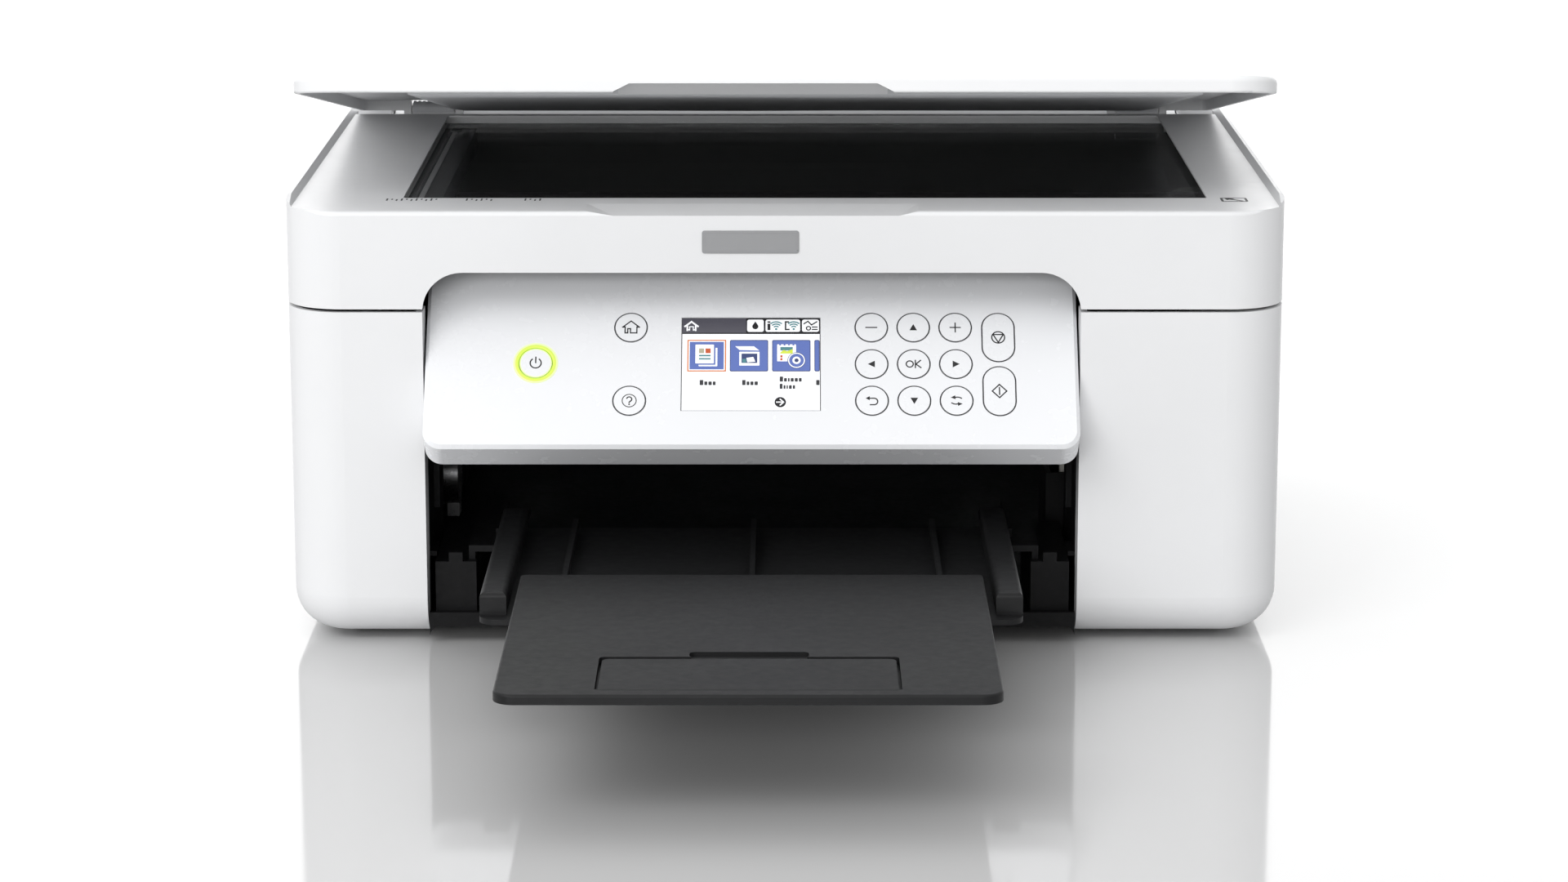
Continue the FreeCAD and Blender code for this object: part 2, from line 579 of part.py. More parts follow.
def tray_extension():
    """Second stage, with the pocket that the stopper folds into."""
    x0, x1 = EXTENSION_X
    z0, z1 = EXTENSION_Z
    plate = plan_block(x0, x1, -TRAY_REACH, -72, z0, z1, 7, 2)
    plate = rounded(plate, 0.9, level_edges(z1))
    pocket = plan_block(PATH_X - 50, PATH_X + 50, -TRAY_REACH + 5.5, -182, z0 + 0.8, z1 + 1, 2, 2)
    grip = plan_block(PATH_X - 20, PATH_X + 20, -182.5, -176, z1 - 1.4, z1 + 1, 2, 2)
    hinge_y, hinge_z = STOPPER_HINGE
    return plate.cut(pocket).cut(grip).cut(rod_x(PATH_X - 52.5, PATH_X + 52.5, hinge_y, hinge_z, 1.06))


def tray_stopper():
    y, z = STOPPER_HINGE
    flap = plan_block(PATH_X - 49, PATH_X + 49, y - 0.1, -183, z - 1.0, z + 1.0, 0.4, 3)
    return fuse(flap, rod_x(PATH_X - 52, PATH_X + 52, y, z, 1.0))


# ---------------------------------------------------------------- scanner unit
def scanner_top_frame():
    """White upper casing of the scanner unit: walls, deck round the glass, side rims and hinge arms."""
    bottom = SEAM_Z + SEAM_GAP / 2
    outer = plan_block(-HALF_WIDTH, HALF_WIDTH, 0, SCAN_DEPTH, bottom, RIM_Z, CORNER_R, 4)
    nest = prism_y([(-184, DECK_Z), (184, DECK_Z), (185.6, RIM_Z + 0.1), (-185.6, RIM_Z + 0.1)],
                   -1, SCAN_DEPTH + 1)
    fall = prism_x([(-1, DECK_Z - 0.3), (0, DECK_Z - 0.3), (26, RIM_Z), (26, RIM_Z + 2), (-1, RIM_Z + 2)],
                   -HALF_WIDTH - 1, HALF_WIDTH + 1)
    outer = outer.cut(nest).cut(fall)
    outer = rounded(outer, 1.6, lambda e: (e.BoundBox.YMax < 0.01 and e.BoundBox.ZLength < 0.01
                                           and abs(e.BoundBox.ZMin - DECK_Z + 0.3) < 0.2))
    inner = plan_block(WALL - HALF_WIDTH, HALF_WIDTH - WALL, WALL, SCAN_DEPTH - WALL,
                       bottom - 1, DECK_Z - WALL, CORNER_R - WALL, 2)
    trough = box(-184, 184, TROUGH_Y, SCAN_DEPTH + 1, TROUGH_Z, RIM_Z)
    inner = inner.cut(box(-185, 185, TROUGH_Y - 2, SCAN_DEPTH + 1, TROUGH_Z - WALL, RIM_Z))
    frame = outer.cut(inner).cut(trough)
    opening = plan_block(GLASS_X[0], GLASS_X[1], GLASS_Y[0], GLASS_Y[1], DECK_Z - 4, DECK_Z + 1, 1, 1)
    arch = front_block(SLOT_LEFT, SLOT_RIGHT, -1, WALL + 0.1, bottom - 30, ARCH_TOP, 5, ARCH_R)
    scoop = prism_x([(-1, DECK_Z - 1.7), (18, DECK_Z), (18, DECK_Z + 1), (-1, DECK_Z + 1)], -76, 51)
    scoop = scoop.common(prism_y([(-62, DECK_Z - 1.8), (41, DECK_Z - 1.8), (49.5, DECK_Z),
                                  (49.5, DECK_Z + 1), (-74, DECK_Z + 1), (-74, DECK_Z)], -1, 19))
    rebate = box(GLASS_X[0] - 4.2, GLASS_X[1] + 4.2, GLASS_Y[0] - 4.2, 249.6, DECK_Z - 4, GLASS_TOP + 0.1)
    frame = frame.cut(opening).cut(arch).cut(scoop).cut(rebate)
    for side in (-1, 1):
        low, high = sorted((side * (POST_X[0] - 0.7), side * (POST_X[1] + 0.7)))
        frame = frame.cut(box(low, high, 254.8, 262.3, TROUGH_Z - 4, TROUGH_Z + 1))
        y, z = SCAN_HINGE
        low, high = sorted((side * 164, side * 169))
        arm = fuse(box(low, high, SCAN_DEPTH - 1, y, z - 4.2, z + 3.2), rod_x(low, high, y, z, 4.2))
        low, high = sorted((side * 168.9, side * 174.6))
        frame = fuse(frame, arm, rod_x(low, high, y, z, 2.5))
    return frame


def scanner_case():
    """Black lower tub of the scanner unit, raised at the front over the panel, with the scan rail."""
    tub = plan_block(-184, 184, 3, 253.5, 130, 158, CORNER_R - 3, 2)
    cavity = plan_block(-182, 182, 5, 251.5, 132, 159, CORNER_R - 5, 1)
    cavity = cavity.cut(box(SLOT_LEFT - 6, SLOT_RIGHT + 6, 0, 52, 129, 149.4))
    pocket = box(SLOT_LEFT - 4, SLOT_RIGHT + 4, 2, 50, 129, 147.4)
    rail = box(-176, 176, 137, 143, 131.9, 150)
    ribs = [box(-176, 176, y, y + 2, 131.9, 140) for y in (84, 196)]
    lug = box(176, 179.5, 112, 128, 114, 130.1)
    tub = fuse(tub.cut(cavity).cut(pocket), rail, *ribs, lug)
    return tub.fuse(rod_x(170.2, 176.1, 120, 121.5, 3)).removeSplitter()


def scanner_glass():
    return box(GLASS_X[0] - 4, GLASS_X[1] + 4, GLASS_Y[0] - 4, GLASS_Y[1] + 2.4, GLASS_TOP - 2.7, GLASS_TOP)


def scanner_motor():
    can = rod_z(133, 149, 160, 66, 11)
    return fuse(can, box(148, 172, 53, 79, 132.05, 134))


def scan_carriage():
    """Sensor bar that runs under the glass, astride the moulded rail."""
    bar = box(-150, -132, 27, 253 - 4, 151, 160.2)
    bar = bar.cut(box(-143, -138, 29, 247, 158.8, 161))
    cheeks = [box(-150, -132, 133.4, 136.7, 141, 151.1), box(-150, -132, 143.3, 146.6, 141, 151.1)]
    return fuse(bar, *cheeks)


def scanner_stay():
    """Arm that swings down from the scanner unit to prop it up."""
    y, z = 120.0, 121.5
    length = 95.0
    bar = box(171.2, 174.6, y, y + length, z - 4, z + 4)
    arm = fuse(bar, rod_x(171.2, 174.6, y, z, 5.5), rod_x(171.2, 174.6, y + length, z, 4))
    arm = arm.cut(rod_x(170, 176, y, z, 3.06))
    arm.rotate(Vec(0, y, z), X_AXIS, -2)
    return arm


def lid_cover():
    """Lid shell, open underneath, with the finger notch in its front lip and the hinge ears and pins."""
    x0, x1 = -LID_HALF_WIDTH, LID_HALF_WIDTH
    y0, y1 = LID_Y
    z0, z1 = LID_Z
    shell = plan_block(x0, x1, y0, y1, z0, z1, CORNER_R - 4, 4)
    shell = rounded(shell, 2.6, level_edges(z1))
    shell = rounded(shell, 0.8, level_edges(z0))
    hollow = plan_block(x0 + 2.2, x1 - 2.2, y0 + 2.2, y1 - 2, z0 - 1, z1 - 2, CORNER_R - 6.2, 2)
    notch = prism_y([(-63.5, z0 - 1), (40, z0 - 1), (40, z0 + 0.4),
                     (34, z0 + 3.4), (-57.5, z0 + 3.4), (-63.5, z0 + 0.4)], y0 - 1, y0 + 4)
    scoop = prism_x([(y0 + 2, z0 + 4.2), (y0 + 15, z0 - 0.2), (y0 + 15, z0 + 1.6), (y0 + 2, z0 + 5.4)],
                    -62, 38)
    shell = fuse(shell.cut(hollow).cut(notch), scoop)
    y, z = LID_HINGE
    for side in (-1, 1):
        for near in (POST_X[0] - 3.6, POST_X[1] + 0.5):
            low, high = sorted((side * near, side * (near + 3.1)))
            shell = fuse(shell, box(low, high, y - 3, y + 3, z - 2.4, z1 - 1.9))
        low, high = sorted((side * (POST_X[0] - 0.7), side * (POST_X[1] + 0.7)))
        shell = shell.cut(box(low, high, y + 2.3, y1 + 1, z0 - 1, z1 - 2))
        low, high = sorted((side * (POST_X[0] - 3.6), side * (POST_X[1] + 3.6)))
        shell = fuse(shell, rod_x(low, high, y, z, 1.5))
    return ajar(shell)


def lid_mat():
    """Foam-backed white sheet that presses the document on the glass."""
    mat = plan_block(GLASS_X[0] + 1.5, GLASS_X[1] - 1.5, GLASS_Y[0] + 1.5, GLASS_Y[1] - 1.5, GLASS_TOP + 0.4,
                     LID_Z[1] - 2.05, 2, 2)
    return ajar(rounded(mat, 0.8, level_edges(GLASS_TOP + 0.4)))


def lid_hinge_posts():
    """Posts in wells behind the glass; they lift so that the lid lies flat on a thick book."""
    posts = []
    y, z = LID_HINGE
    for side in (-1, 1):
        low, high = sorted((side * POST_X[0], side * POST_X[1]))
        leg = box(low, high, 255.6, 260.8, 134, z)
        knuckle = rod_x(low, high, y, z, 2.6)
        ribs = [box(low + 2.2 + 2.6 * k, low + 3.4 + 2.6 * k, 255.0, 255.7, 136, 164) for k in range(6)]
        trim = box(low - 1, high + 1, y - 6, y - 2.9, z - 1, z + 4)
        post = fuse(leg, *ribs).cut(trim).cut(box(low - 1, high + 1, y + 2, y + 4, z - 1.5, z + 4))
        posts.append(fuse(post, knuckle).cut(rod_x(low - 1, high + 1, y, z, 1.57)))
    return posts


# ---------------------------------------------------------------- control panel
def panel_pivot():
    """Centre of the panel's pivot, in the build frame."""
    return on_panel(Part.Vertex(Vec(0, PANEL_PIVOT[1], PANEL_PIVOT[0]))).Point


def round_key(x, s, y0, y1, radius):
    return rod_y(y0, y1, x, s, radius)


def tall_key(x, s, y0, y1, half_width):
    half_height = TALL_KEY_HEIGHT / 2 - KEY_R + half_width
    return front_block(x - half_width, x + half_width, y0, y1, s - half_height, s + half_height,
                       half_width - 0.01, half_width - 0.01)


KEYS = {
    "power_button": (round_key, *POWER_KEY),
    "home_button": (round_key, -57.7, KEY_ROWS[2]),
    "help_button": (round_key, -57.9, KEY_ROWS[0]),
    "minus_button": (round_key, KEY_COLUMNS[0], KEY_ROWS[2]),
    "up_button": (round_key, KEY_COLUMNS[1], KEY_ROWS[2]),
    "plus_button": (round_key, KEY_COLUMNS[2], KEY_ROWS[2]),
    "left_button": (round_key, KEY_COLUMNS[0], KEY_ROWS[1]),
    "ok_button": (round_key, KEY_COLUMNS[1], KEY_ROWS[1]),
    "right_button": (round_key, KEY_COLUMNS[2], KEY_ROWS[1]),
    "back_button": (round_key, KEY_COLUMNS[0], KEY_ROWS[0]),
    "down_button": (round_key, KEY_COLUMNS[1], KEY_ROWS[0]),
    "options_button": (round_key, KEY_COLUMNS[2], KEY_ROWS[0]),
    "stop_button": (tall_key, TALL_KEY_X, 45.9),
    "start_button": (tall_key, TALL_KEY_X, 23.4),
}


def key(name):
    """A key: cap in its hole, flange behind the face and stem towards its switch."""
    make, x, s = KEYS[name]
    cap = make(x, s, -0.1, 3.6, KEY_R)
    front = [e for e in cap.Edges if e.BoundBox.YMax < -0.09]
    cap = cap.makeFillet(0.35, front)
    seat = 3.35 if name == "power_button" else 2.35
    flange = make(x, s, seat, seat + 1.0, KEY_R + 0.75)
    stem = rod_y(2.9, 5.6, x, s, 2.0)
    return on_panel(fuse(cap, flange, stem))


def panel_shell():
    """White front shell of the control panel with holes for the keys, the lit ring and the screen."""
    x0, x1 = PANEL_X
    shell = front_block(x0, x1, 0, PANEL_THICK, 0, PANEL_HEIGHT, 7, 14)
    shell = rounded(shell, 1.3, lambda e: e.BoundBox.YMax < 0.01, flat=True)
    shell = rounded(shell, 1.2, lambda e: e.BoundBox.YMin > PANEL_THICK - 0.01)
    hollow = front_block(x0 + 2, x1 - 2, 2, PANEL_THICK + 1, 2, PANEL_HEIGHT - 2, 5, 12)
    shell = shell.cut(hollow)
    shell = shell.cut(box(SCREEN_X[0], SCREEN_X[1], -1, 3, SCREEN_S[0], SCREEN_S[1]))
    shell = shell.cut(rod_y(-1, 3, *POWER_KEY, 7.85))
    shell = shell.cut(rod_x(x0 - 1, x1 + 1, PANEL_PIVOT[1], PANEL_PIVOT[0], 3.3))
    for name, (make, x, s) in KEYS.items():
        if name != "power_button":
            shell = shell.cut(make(x, s, -1, 3, KEY_R + KEY_GAP))
    return on_panel(shell)


def power_ring():
    """Light guide round the power key."""
    x, s = POWER_KEY
    ring = rod_y(-0.05, 3.0, x, s, 7.7).cut(rod_y(-1, 4, x, s, KEY_R + KEY_GAP))
    flange = rod_y(2.05, 3.0, x, s, 9.5).cut(rod_y(1, 4, x, s, KEY_R + KEY_GAP))
    return on_panel(fuse(ring, flange))


def lcd_module():
    """Screen window and the display module behind it."""
    (x0, x1), (s0, s1) = SCREEN_X, SCREEN_S
    window = box(x0 + 0.15, x1 - 0.15, 0.35, 2.2, s0 + 0.15, s1 - 0.15)
    module = box(x0 - 3.5, x1 + 3.5, 2.2, 6.5, s0 - 3, s1 + 3)
    return [on_panel(fuse(window, module))]


def panel_board():
    """Circuit board behind the keys, one switch to a key."""
    board = box(-112, 92, 8.6, 10.0, 8, 62)
    switches = [box(x - 2.4, x + 2.4, 6.6, 8.7, s - 2.4, s + 2.4) for _, x, s in KEYS.values()]
    return on_panel(fuse(board, *switches))


def panel_back():
    """Back cover of the panel, with the ears and pins that it tilts on."""
    x0, x1 = PANEL_X
    plate = front_block(x0 + 2.2, x1 - 2.2, 12.8, PANEL_THICK, 2.3, PANEL_HEIGHT - 2.3, 4.8, 11.8)
    s, depth = PANEL_PIVOT
    back = fuse(plate, *[rod_y(10.05, 12.9, x, row, 2.5) for x in (-104, 84) for row in (14, 56)])
    for wall_x, side in ((x0, -1), (x1, 1)):
        inboard, outboard = sorted((wall_x, wall_x - side * 6))
        boss = rod_x(inboard, outboard, depth, s, 5)
        boss = boss.common(box(-200, 200, PANEL_THICK + 0.2, 40, -10, 100))
        ear = fuse(box(inboard, outboard, PANEL_THICK + 0.2, depth + 1, s - 5, s + 5), boss)
        web_low, web_high = sorted((wall_x - side * 2.4, wall_x - side * 6))
        web = box(web_low, web_high, 13, PANEL_THICK + 0.5, s - 5, s + 5)
        pin_low, pin_high = sorted((wall_x - side * 1.0, wall_x + side * 3.2))
        back = fuse(back, web, ear, rod_x(pin_low, pin_high, depth, s, 3.0))
    return on_panel(back)


# ---------------------------------------------------------------- assembly
def build():
    node("base_tray", base_tray())
    node("outer_housing", outer_housing())
    node("slot_frame", slot_frame())
    node("main_frame", main_frame())
    node("carriage_rail", rod_x(-FRAME_X - 3, FRAME_X + 3, *ROD))
    node("platen", platen())
    node("carriage_belt", carriage_belt())
    node("carriage_motor", carriage_motor())
    node("feed_motor", feed_motor())
    node("main_board", *main_board())
    node("power_supply", power_supply())
    node("maintenance_station", maintenance_station())
    node("feeder_frame", feeder_frame())
    node("rubber_feet", *rubber_feet())
    node("duplexer_cover", duplexer_cover())
    node("scanner_case", scanner_case())
    node("scanner_top_frame", scanner_top_frame())
    node("scanner_glass", scanner_glass())
    node("scanner_motor", scanner_motor())
    node("scan_carriage", scan_carriage())
    node("scanner_stay", scanner_stay())
    node("lid_hinge_posts", *lid_hinge_posts())
    node("lid_cover", lid_cover())
    node("lid_mat", lid_mat())
    node("panel_shell", panel_shell())
    node("panel_back", panel_back())
    node("lcd_module", *lcd_module())
    node("panel_board", panel_board())
    node("power_ring", power_ring())
    for name in KEYS:
        node(name, key(name))
    node("output_tray", output_tray())
    node("tray_extension", tray_extension())
    node("tray_stopper", tray_stopper())
    node("print_carriage", print_carriage())
    node("print_head", print_head())
    node("ink_cartridges", *ink_cartridges())
    node("motor_pulley", motor_pulley())
    node("feed_roller", *feed_roller())
    node("exit_roller", *exit_roller())
    node("idler_gear", idler_gear())
    node("feed_pinion", *feed_pinion())
    node("pickup_roller", pickup_roller())
    node("paper_support", paper_support())
    node("edge_guide_left", edge_guide(-1))
    node("edge_guide_right", edge_guide(1))
    node("feeder_guard", feeder_guard())
    node("cap_sled", cap_sled())


def export():
    os.makedirs("parts", exist_ok=True)
    for name, solids in NODES.items():
        pieces = [s for shape in solids for s in shape.Solids]
        whole = pieces[0] if len(pieces) == 1 else Part.makeCompound(pieces)
        whole.translate(Vec(0, ROW_SHIFT_Y, 0))
        bounds = whole.BoundBox
        flag = "" if whole.isValid() else "  INVALID"
        print(f"{name:22s} solids {len(pieces):2d}  volume {whole.Volume / 1000:8.2f} cm3"
              f"  y {bounds.YMin:7.1f} {bounds.YMax:7.1f}  z {bounds.ZMin:6.1f} {bounds.ZMax:6.1f}{flag}")
        whole.exportStep(f"parts/{name}.step")


build()
export()
print(len(NODES), "nodes; panel pivot", panel_pivot())
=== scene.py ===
import bpy
import json
import math
import random
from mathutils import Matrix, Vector

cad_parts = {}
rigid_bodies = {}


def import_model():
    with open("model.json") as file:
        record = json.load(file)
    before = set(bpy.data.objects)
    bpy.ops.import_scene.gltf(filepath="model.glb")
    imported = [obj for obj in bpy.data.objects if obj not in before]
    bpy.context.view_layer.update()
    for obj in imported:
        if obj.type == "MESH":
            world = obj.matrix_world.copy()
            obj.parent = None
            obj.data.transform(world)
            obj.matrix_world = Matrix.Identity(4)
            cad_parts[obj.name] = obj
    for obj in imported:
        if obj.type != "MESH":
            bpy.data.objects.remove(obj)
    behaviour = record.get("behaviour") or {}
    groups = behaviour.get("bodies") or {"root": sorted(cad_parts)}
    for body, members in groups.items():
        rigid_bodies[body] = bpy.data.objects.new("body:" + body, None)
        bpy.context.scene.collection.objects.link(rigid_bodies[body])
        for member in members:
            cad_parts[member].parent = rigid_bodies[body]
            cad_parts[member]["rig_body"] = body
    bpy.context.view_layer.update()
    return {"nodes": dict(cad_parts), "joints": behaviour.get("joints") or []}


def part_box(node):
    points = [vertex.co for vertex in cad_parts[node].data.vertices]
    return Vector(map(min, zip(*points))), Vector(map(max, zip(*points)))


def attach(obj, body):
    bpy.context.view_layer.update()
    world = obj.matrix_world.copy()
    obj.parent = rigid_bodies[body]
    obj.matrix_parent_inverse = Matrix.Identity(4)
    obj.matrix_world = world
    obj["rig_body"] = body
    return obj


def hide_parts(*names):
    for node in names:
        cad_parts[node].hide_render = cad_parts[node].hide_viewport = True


MM = 0.001

# where the panel's face lies from its pivot: along the face from its bottom edge, and behind the face
PANEL_PIVOT = (46.5 * MM, 16.4 * MM)
SCREEN_MARGIN = (3.65 * MM, 3.15 * MM)      # the screen module's rim round its window, across and up
SCREEN_GRID = (100, 75)     # the screen page's own units, across and down
SCREEN_LAYER = 0.02         # thickness of one printed layer of the screen page, in millimetres
RIM_LINE = 0.24             # width of the dark line drawn round each key's rim, in millimetres
SYMBOL_LINE = 0.48          # width of the lines in the key symbols, in millimetres
LONG_KEY_HALF = 10.2        # half the height of the stop and start keys' outline, in millimetres
SHEET_CENTRE_X = -12 * MM   # middle of the paper path
ROLLER_GEAR_END_X = -161 * MM               # the gears on the rollers end here
ROLLER_HALF = {"feed_roller": 114 * MM, "exit_roller": 100 * MM, "pickup_roller": 16 * MM}     # rubber
LID_OPEN_AT_REST = math.radians(9.6)

CAMERA_TILT = 0.221         # how far the camera looks down, in radians
CAMERA_PLACE = (0, -1.5668, 0.4230)
CAMERA_LENS = 96.26
CAMERA_SHIFT = -0.00078
WORLD_STRENGTH = 0.96
WORLD_GREYS = ((1.03, 1.03, 1.03), (0.76, 0.76, 0.76))     # the world's grey at its left and right

CASE_WHITE = (0.75, 0.755, 0.765)
PANEL_PAINT = (0.79, 0.80, 0.82)
GEAR_PLASTIC = (0.66, 0.65, 0.6)
BOARD_GREEN = (0.02, 0.11, 0.045)
SOFT_BLACK = (0.02, 0.02, 0.022)
INKS = (SOFT_BLACK, (0.02, 0.25, 0.5), (0.5, 0.03, 0.16), (0.7, 0.5, 0.03))

FINISHES = {
    "casing_white": (CASE_WHITE, 0.36, dict(tone=0.012, grain=0.03, grain_mm=0.03, coat=0.05,
                                            coat_rough=0.2, specular=0.4)),
    "panel_white": (PANEL_PAINT, 0.26, dict(tone=0.01, grain_mm=0.02, coat=0.15, coat_rough=0.12)),
    "panel_grey": ((0.62, 0.63, 0.65), 0.4, dict(tone=0.015, grain=0.03, grain_mm=0.03)),
    "key_white": (PANEL_PAINT, 0.3, dict(tone=0.01, grain_mm=0.02, coat=0.15)),
    "frame_black": ((0.0045, 0.0045, 0.005), 0.5, dict(specular=0.16, tone=0.12, tone_scale=30, grain=0.06,
                                                       grain_scale=1800, grain_mm=0.08)),
    "tray_charcoal": ((0.009, 0.0092, 0.0098), 0.44, dict(specular=0.22, tone=0.08, tone_scale=20,
                                                          grain=0.06, grain_scale=2000)),
    "sheet_steel": ((0.55, 0.56, 0.57), 0.36, dict(metal=1.0, tone=0.08, tone_scale=60, rough_var=0.1,
                                                   grain=0.04, grain_scale=500, brushed=(1, 1, 14))),
    "bright_steel": ((0.7, 0.7, 0.71), 0.14, dict(metal=1.0, tone=0.03, grain_scale=700,
                                                  brushed=(14, 1, 1))),
    "foot_rubber": ((0.05, 0.05, 0.052), 0.8, dict(tone=0.1, grain=0.08, grain_mm=0.1)),
    "belt_rubber": ((0.02, 0.02, 0.02), 0.75, dict(tone=0.1, grain=0.1, grain_scale=1200, grain_mm=0.2)),
    "motor_metal": ((0.5, 0.5, 0.51), 0.3, dict(metal=1.0, tone=0.06, tone_scale=80, grain=0.03,
                                                grain_scale=600, brushed=(1, 12, 1))),
    "gear_white": (GEAR_PLASTIC, 0.38, dict(tone=0.03, grain=0.03)),
    "print_black": ((0.012, 0.012, 0.014), 0.45, dict(tone=0.05)),
    # near-black grey of the thin dark line drawn round each key's rim
    "key_rim_dark": ((0.018, 0.018, 0.02), 0.45, dict(tone=0.05)),
    "badge_grey": ((0.28, 0.283, 0.29), 0.32, dict(metal=0.35, tone_scale=20, grain=0.01,
                                                   grain_scale=1600)),
    "mat_white": ((0.60, 0.61, 0.625), 0.62, dict(tone=0.015, tone_scale=9, grain=0.05, grain_scale=1400,
                                                  grain_mm=0.08)),
    "ring_lit": ((0.56, 0.74, 0.10), 0.4, dict(tone=0.03, glow=((0.52, 0.76, 0.07), 0.34))),
    # painted glow: the power ring's light spilling onto the white panel round it and onto the power key's
    # rim
    "painted_ring_glow": ((0.74, 0.84, 0.42), 0.4, dict(tone=0.03, glow=((0.6, 0.8, 0.25), 0.12))),
    "strip_white": ((0.7, 0.7, 0.7), 0.6, dict(grain=0.03)),
    "screen_face": ((0.01, 0.011, 0.013), 0.08, dict(tone=0.05, grain=0.005, coat=1.0, coat_rough=0.03)),
    "panel_green": (BOARD_GREEN, 0.35, dict(tone=0.15, tone_scale=120, grain=0.05, grain_scale=900)),
}

# each lit patch of the screen: colour and strength of its light
SCREEN_COLOURS = {
    "ui_white": ((0.74, 0.75, 0.77), 0.36),
    "ui_bar": ((0.066, 0.064, 0.08), 0.25),
    "ui_black": ((0.012, 0.012, 0.014), 0.1),
    "ui_blue": ((0.078, 0.118, 0.33), 0.5),
    "ui_blue_rim": ((0.03, 0.044, 0.13), 0.4),
    "ui_orange": ((0.50, 0.15, 0.04), 0.45),
    "ui_red": ((0.42, 0.07, 0.02), 0.4),
    "ui_sand": ((0.34, 0.31, 0.22), 0.4),
    "ui_green": ((0.48, 0.56, 0.05), 0.42),
    "ui_teal": ((0.06, 0.18, 0.2), 0.4),
    "ui_text": ((0.03, 0.03, 0.034), 0.15),
    "ui_grey": ((0.12, 0.12, 0.13), 0.2),
}

# which CAD nodes wear which finish; the keys and the rollers are dressed by name in dress_nodes
NODES_BY_FINISH = {
    "casing_white": ("outer_housing", "scanner_top_frame", "lid_cover", "duplexer_cover", "lid_hinge_posts",
                     "feeder_guard", "paper_support"),
    "panel_white": ("panel_shell",),
    "panel_grey": ("panel_back",),
    "ring_lit": ("power_ring",),
    "screen_face": ("lcd_module",),
    "panel_green": ("panel_board",),
    "board_green": ("main_board",),
    "frame_black": ("base_tray", "slot_frame", "platen", "maintenance_station", "feeder_frame",
                    "scanner_case", "scan_carriage", "scanner_stay", "print_carriage", "power_supply"),
    "tray_charcoal": ("edge_guide_left", "edge_guide_right", "output_tray", "tray_extension",
                      "tray_stopper"),
    "sheet_steel": ("main_frame", "print_head"),
    "bright_steel": ("carriage_rail", "motor_pulley"),
    "motor_metal": ("carriage_motor", "feed_motor", "scanner_motor"),
    "belt_rubber": ("carriage_belt",),
    "foot_rubber": ("rubber_feet",),
    "scan_glass": ("scanner_glass",),
    "gear_white": ("idler_gear", "feed_pinion", "cap_sled"),
    "cartridge": ("ink_cartridges",),
    "mat_white": ("lid_mat",),
}


# ---------------------------------------------------------------- materials
def node_material(name):
    mat = bpy.data.materials.new(name)
    mat.use_nodes = True
    tree = mat.node_tree
    shader = tree.nodes["Principled BSDF"]
    coords = tree.nodes.new("ShaderNodeTexCoord")
    return mat, tree, shader, coords


def add_node(tree, kind, **values):
    node = tree.nodes.new(kind)
    for key, value in values.items():
        if key in node.inputs:
            node.inputs[key].default_value = value
        else:
            setattr(node, key, value)
    return node


def noise(tree, coords, scale, detail=3.0, roughness=0.55):
    node = add_node(tree, "ShaderNodeTexNoise", Scale=scale, Detail=detail, Roughness=roughness)
    tree.links.new(coords.outputs["Object"], node.inputs["Vector"])
    return node.outputs["Fac"]


def spread(tree, value, low, high, source=(0.3, 0.7)):
    node = add_node(tree, "ShaderNodeMapRange")
    node.inputs["From Min"].default_value, node.inputs["From Max"].default_value = source
    node.inputs["To Min"].default_value, node.inputs["To Max"].default_value = low, high
    tree.links.new(value, node.inputs["Value"])
    return node.outputs["Result"]


def tinted(tree, value, dark, light):
    node = add_node(tree, "ShaderNodeMix", data_type="RGBA")
    tree.links.new(value, node.inputs["Factor"])
    node.inputs["A"].default_value = (*dark, 1)
    node.inputs["B"].default_value = (*light, 1)
    return node.outputs["Result"]


def finish(name, colour, rough, metal=0.0, tone=0.02, tone_scale=14.0, grain=0.02, grain_scale=2600.0,
           grain_mm=0.06, rough_var=0.05, coat=0.0, coat_rough=0.08, specular=0.5, brushed=None,
           colour_bands=None, glow=None):
    """A moulded, painted or metal finish.

    Colour and roughness change slowly over the surface, and it has a fine relief.
    """
    mat, tree, shader, coords = node_material(name)
    slow = noise(tree, coords, tone_scale, 4.0)
    fine = noise(tree, coords, tone_scale * 12, 3.0)
    dark = [c * (1 - tone) for c in colour]
    light = [min(1.0, c * (1 + tone)) for c in colour]
    base = tinted(tree, spread(tree, slow, 0, 1), dark, light)
    if colour_bands:
        base = banded(tree, coords, colour_bands, base)
    tree.links.new(base, shader.inputs["Base Color"])
    mixed = add_node(tree, "ShaderNodeMath", operation="ADD")
    tree.links.new(slow, mixed.inputs[0])
    tree.links.new(fine, mixed.inputs[1])
    smoothest, roughest = max(0.02, rough - rough_var), min(1, rough + rough_var)
    gloss = spread(tree, mixed.outputs[0], smoothest, roughest, (0.7, 1.3))
    tree.links.new(gloss, shader.inputs["Roughness"])
    relief = add_node(tree, "ShaderNodeTexNoise", Scale=grain_scale, Detail=2.0, Roughness=0.6)
    if brushed:
        stretch = add_node(tree, "ShaderNodeMapping")
        stretch.inputs["Scale"].default_value = brushed
        tree.links.new(coords.outputs["Object"], stretch.inputs["Vector"])
        tree.links.new(stretch.outputs["Vector"], relief.inputs["Vector"])
    else:
        tree.links.new(coords.outputs["Object"], relief.inputs["Vector"])
    bump = add_node(tree, "ShaderNodeBump", Strength=min(1.0, grain * 10), Distance=grain_mm * MM)
    tree.links.new(relief.outputs["Fac"], bump.inputs["Height"])
    tree.links.new(bump.outputs["Normal"], shader.inputs["Normal"])
    shader.inputs["Metallic"].default_value = metal
    shader.inputs["Specular IOR Level"].default_value = specular
    shader.inputs["Coat Weight"].default_value = coat
    shader.inputs["Coat Roughness"].default_value = coat_rough
    if glow:
        shader.inputs["Emission Color"].default_value = (*glow[0], 1)
        shader.inputs["Emission Strength"].default_value = glow[1]
    return mat


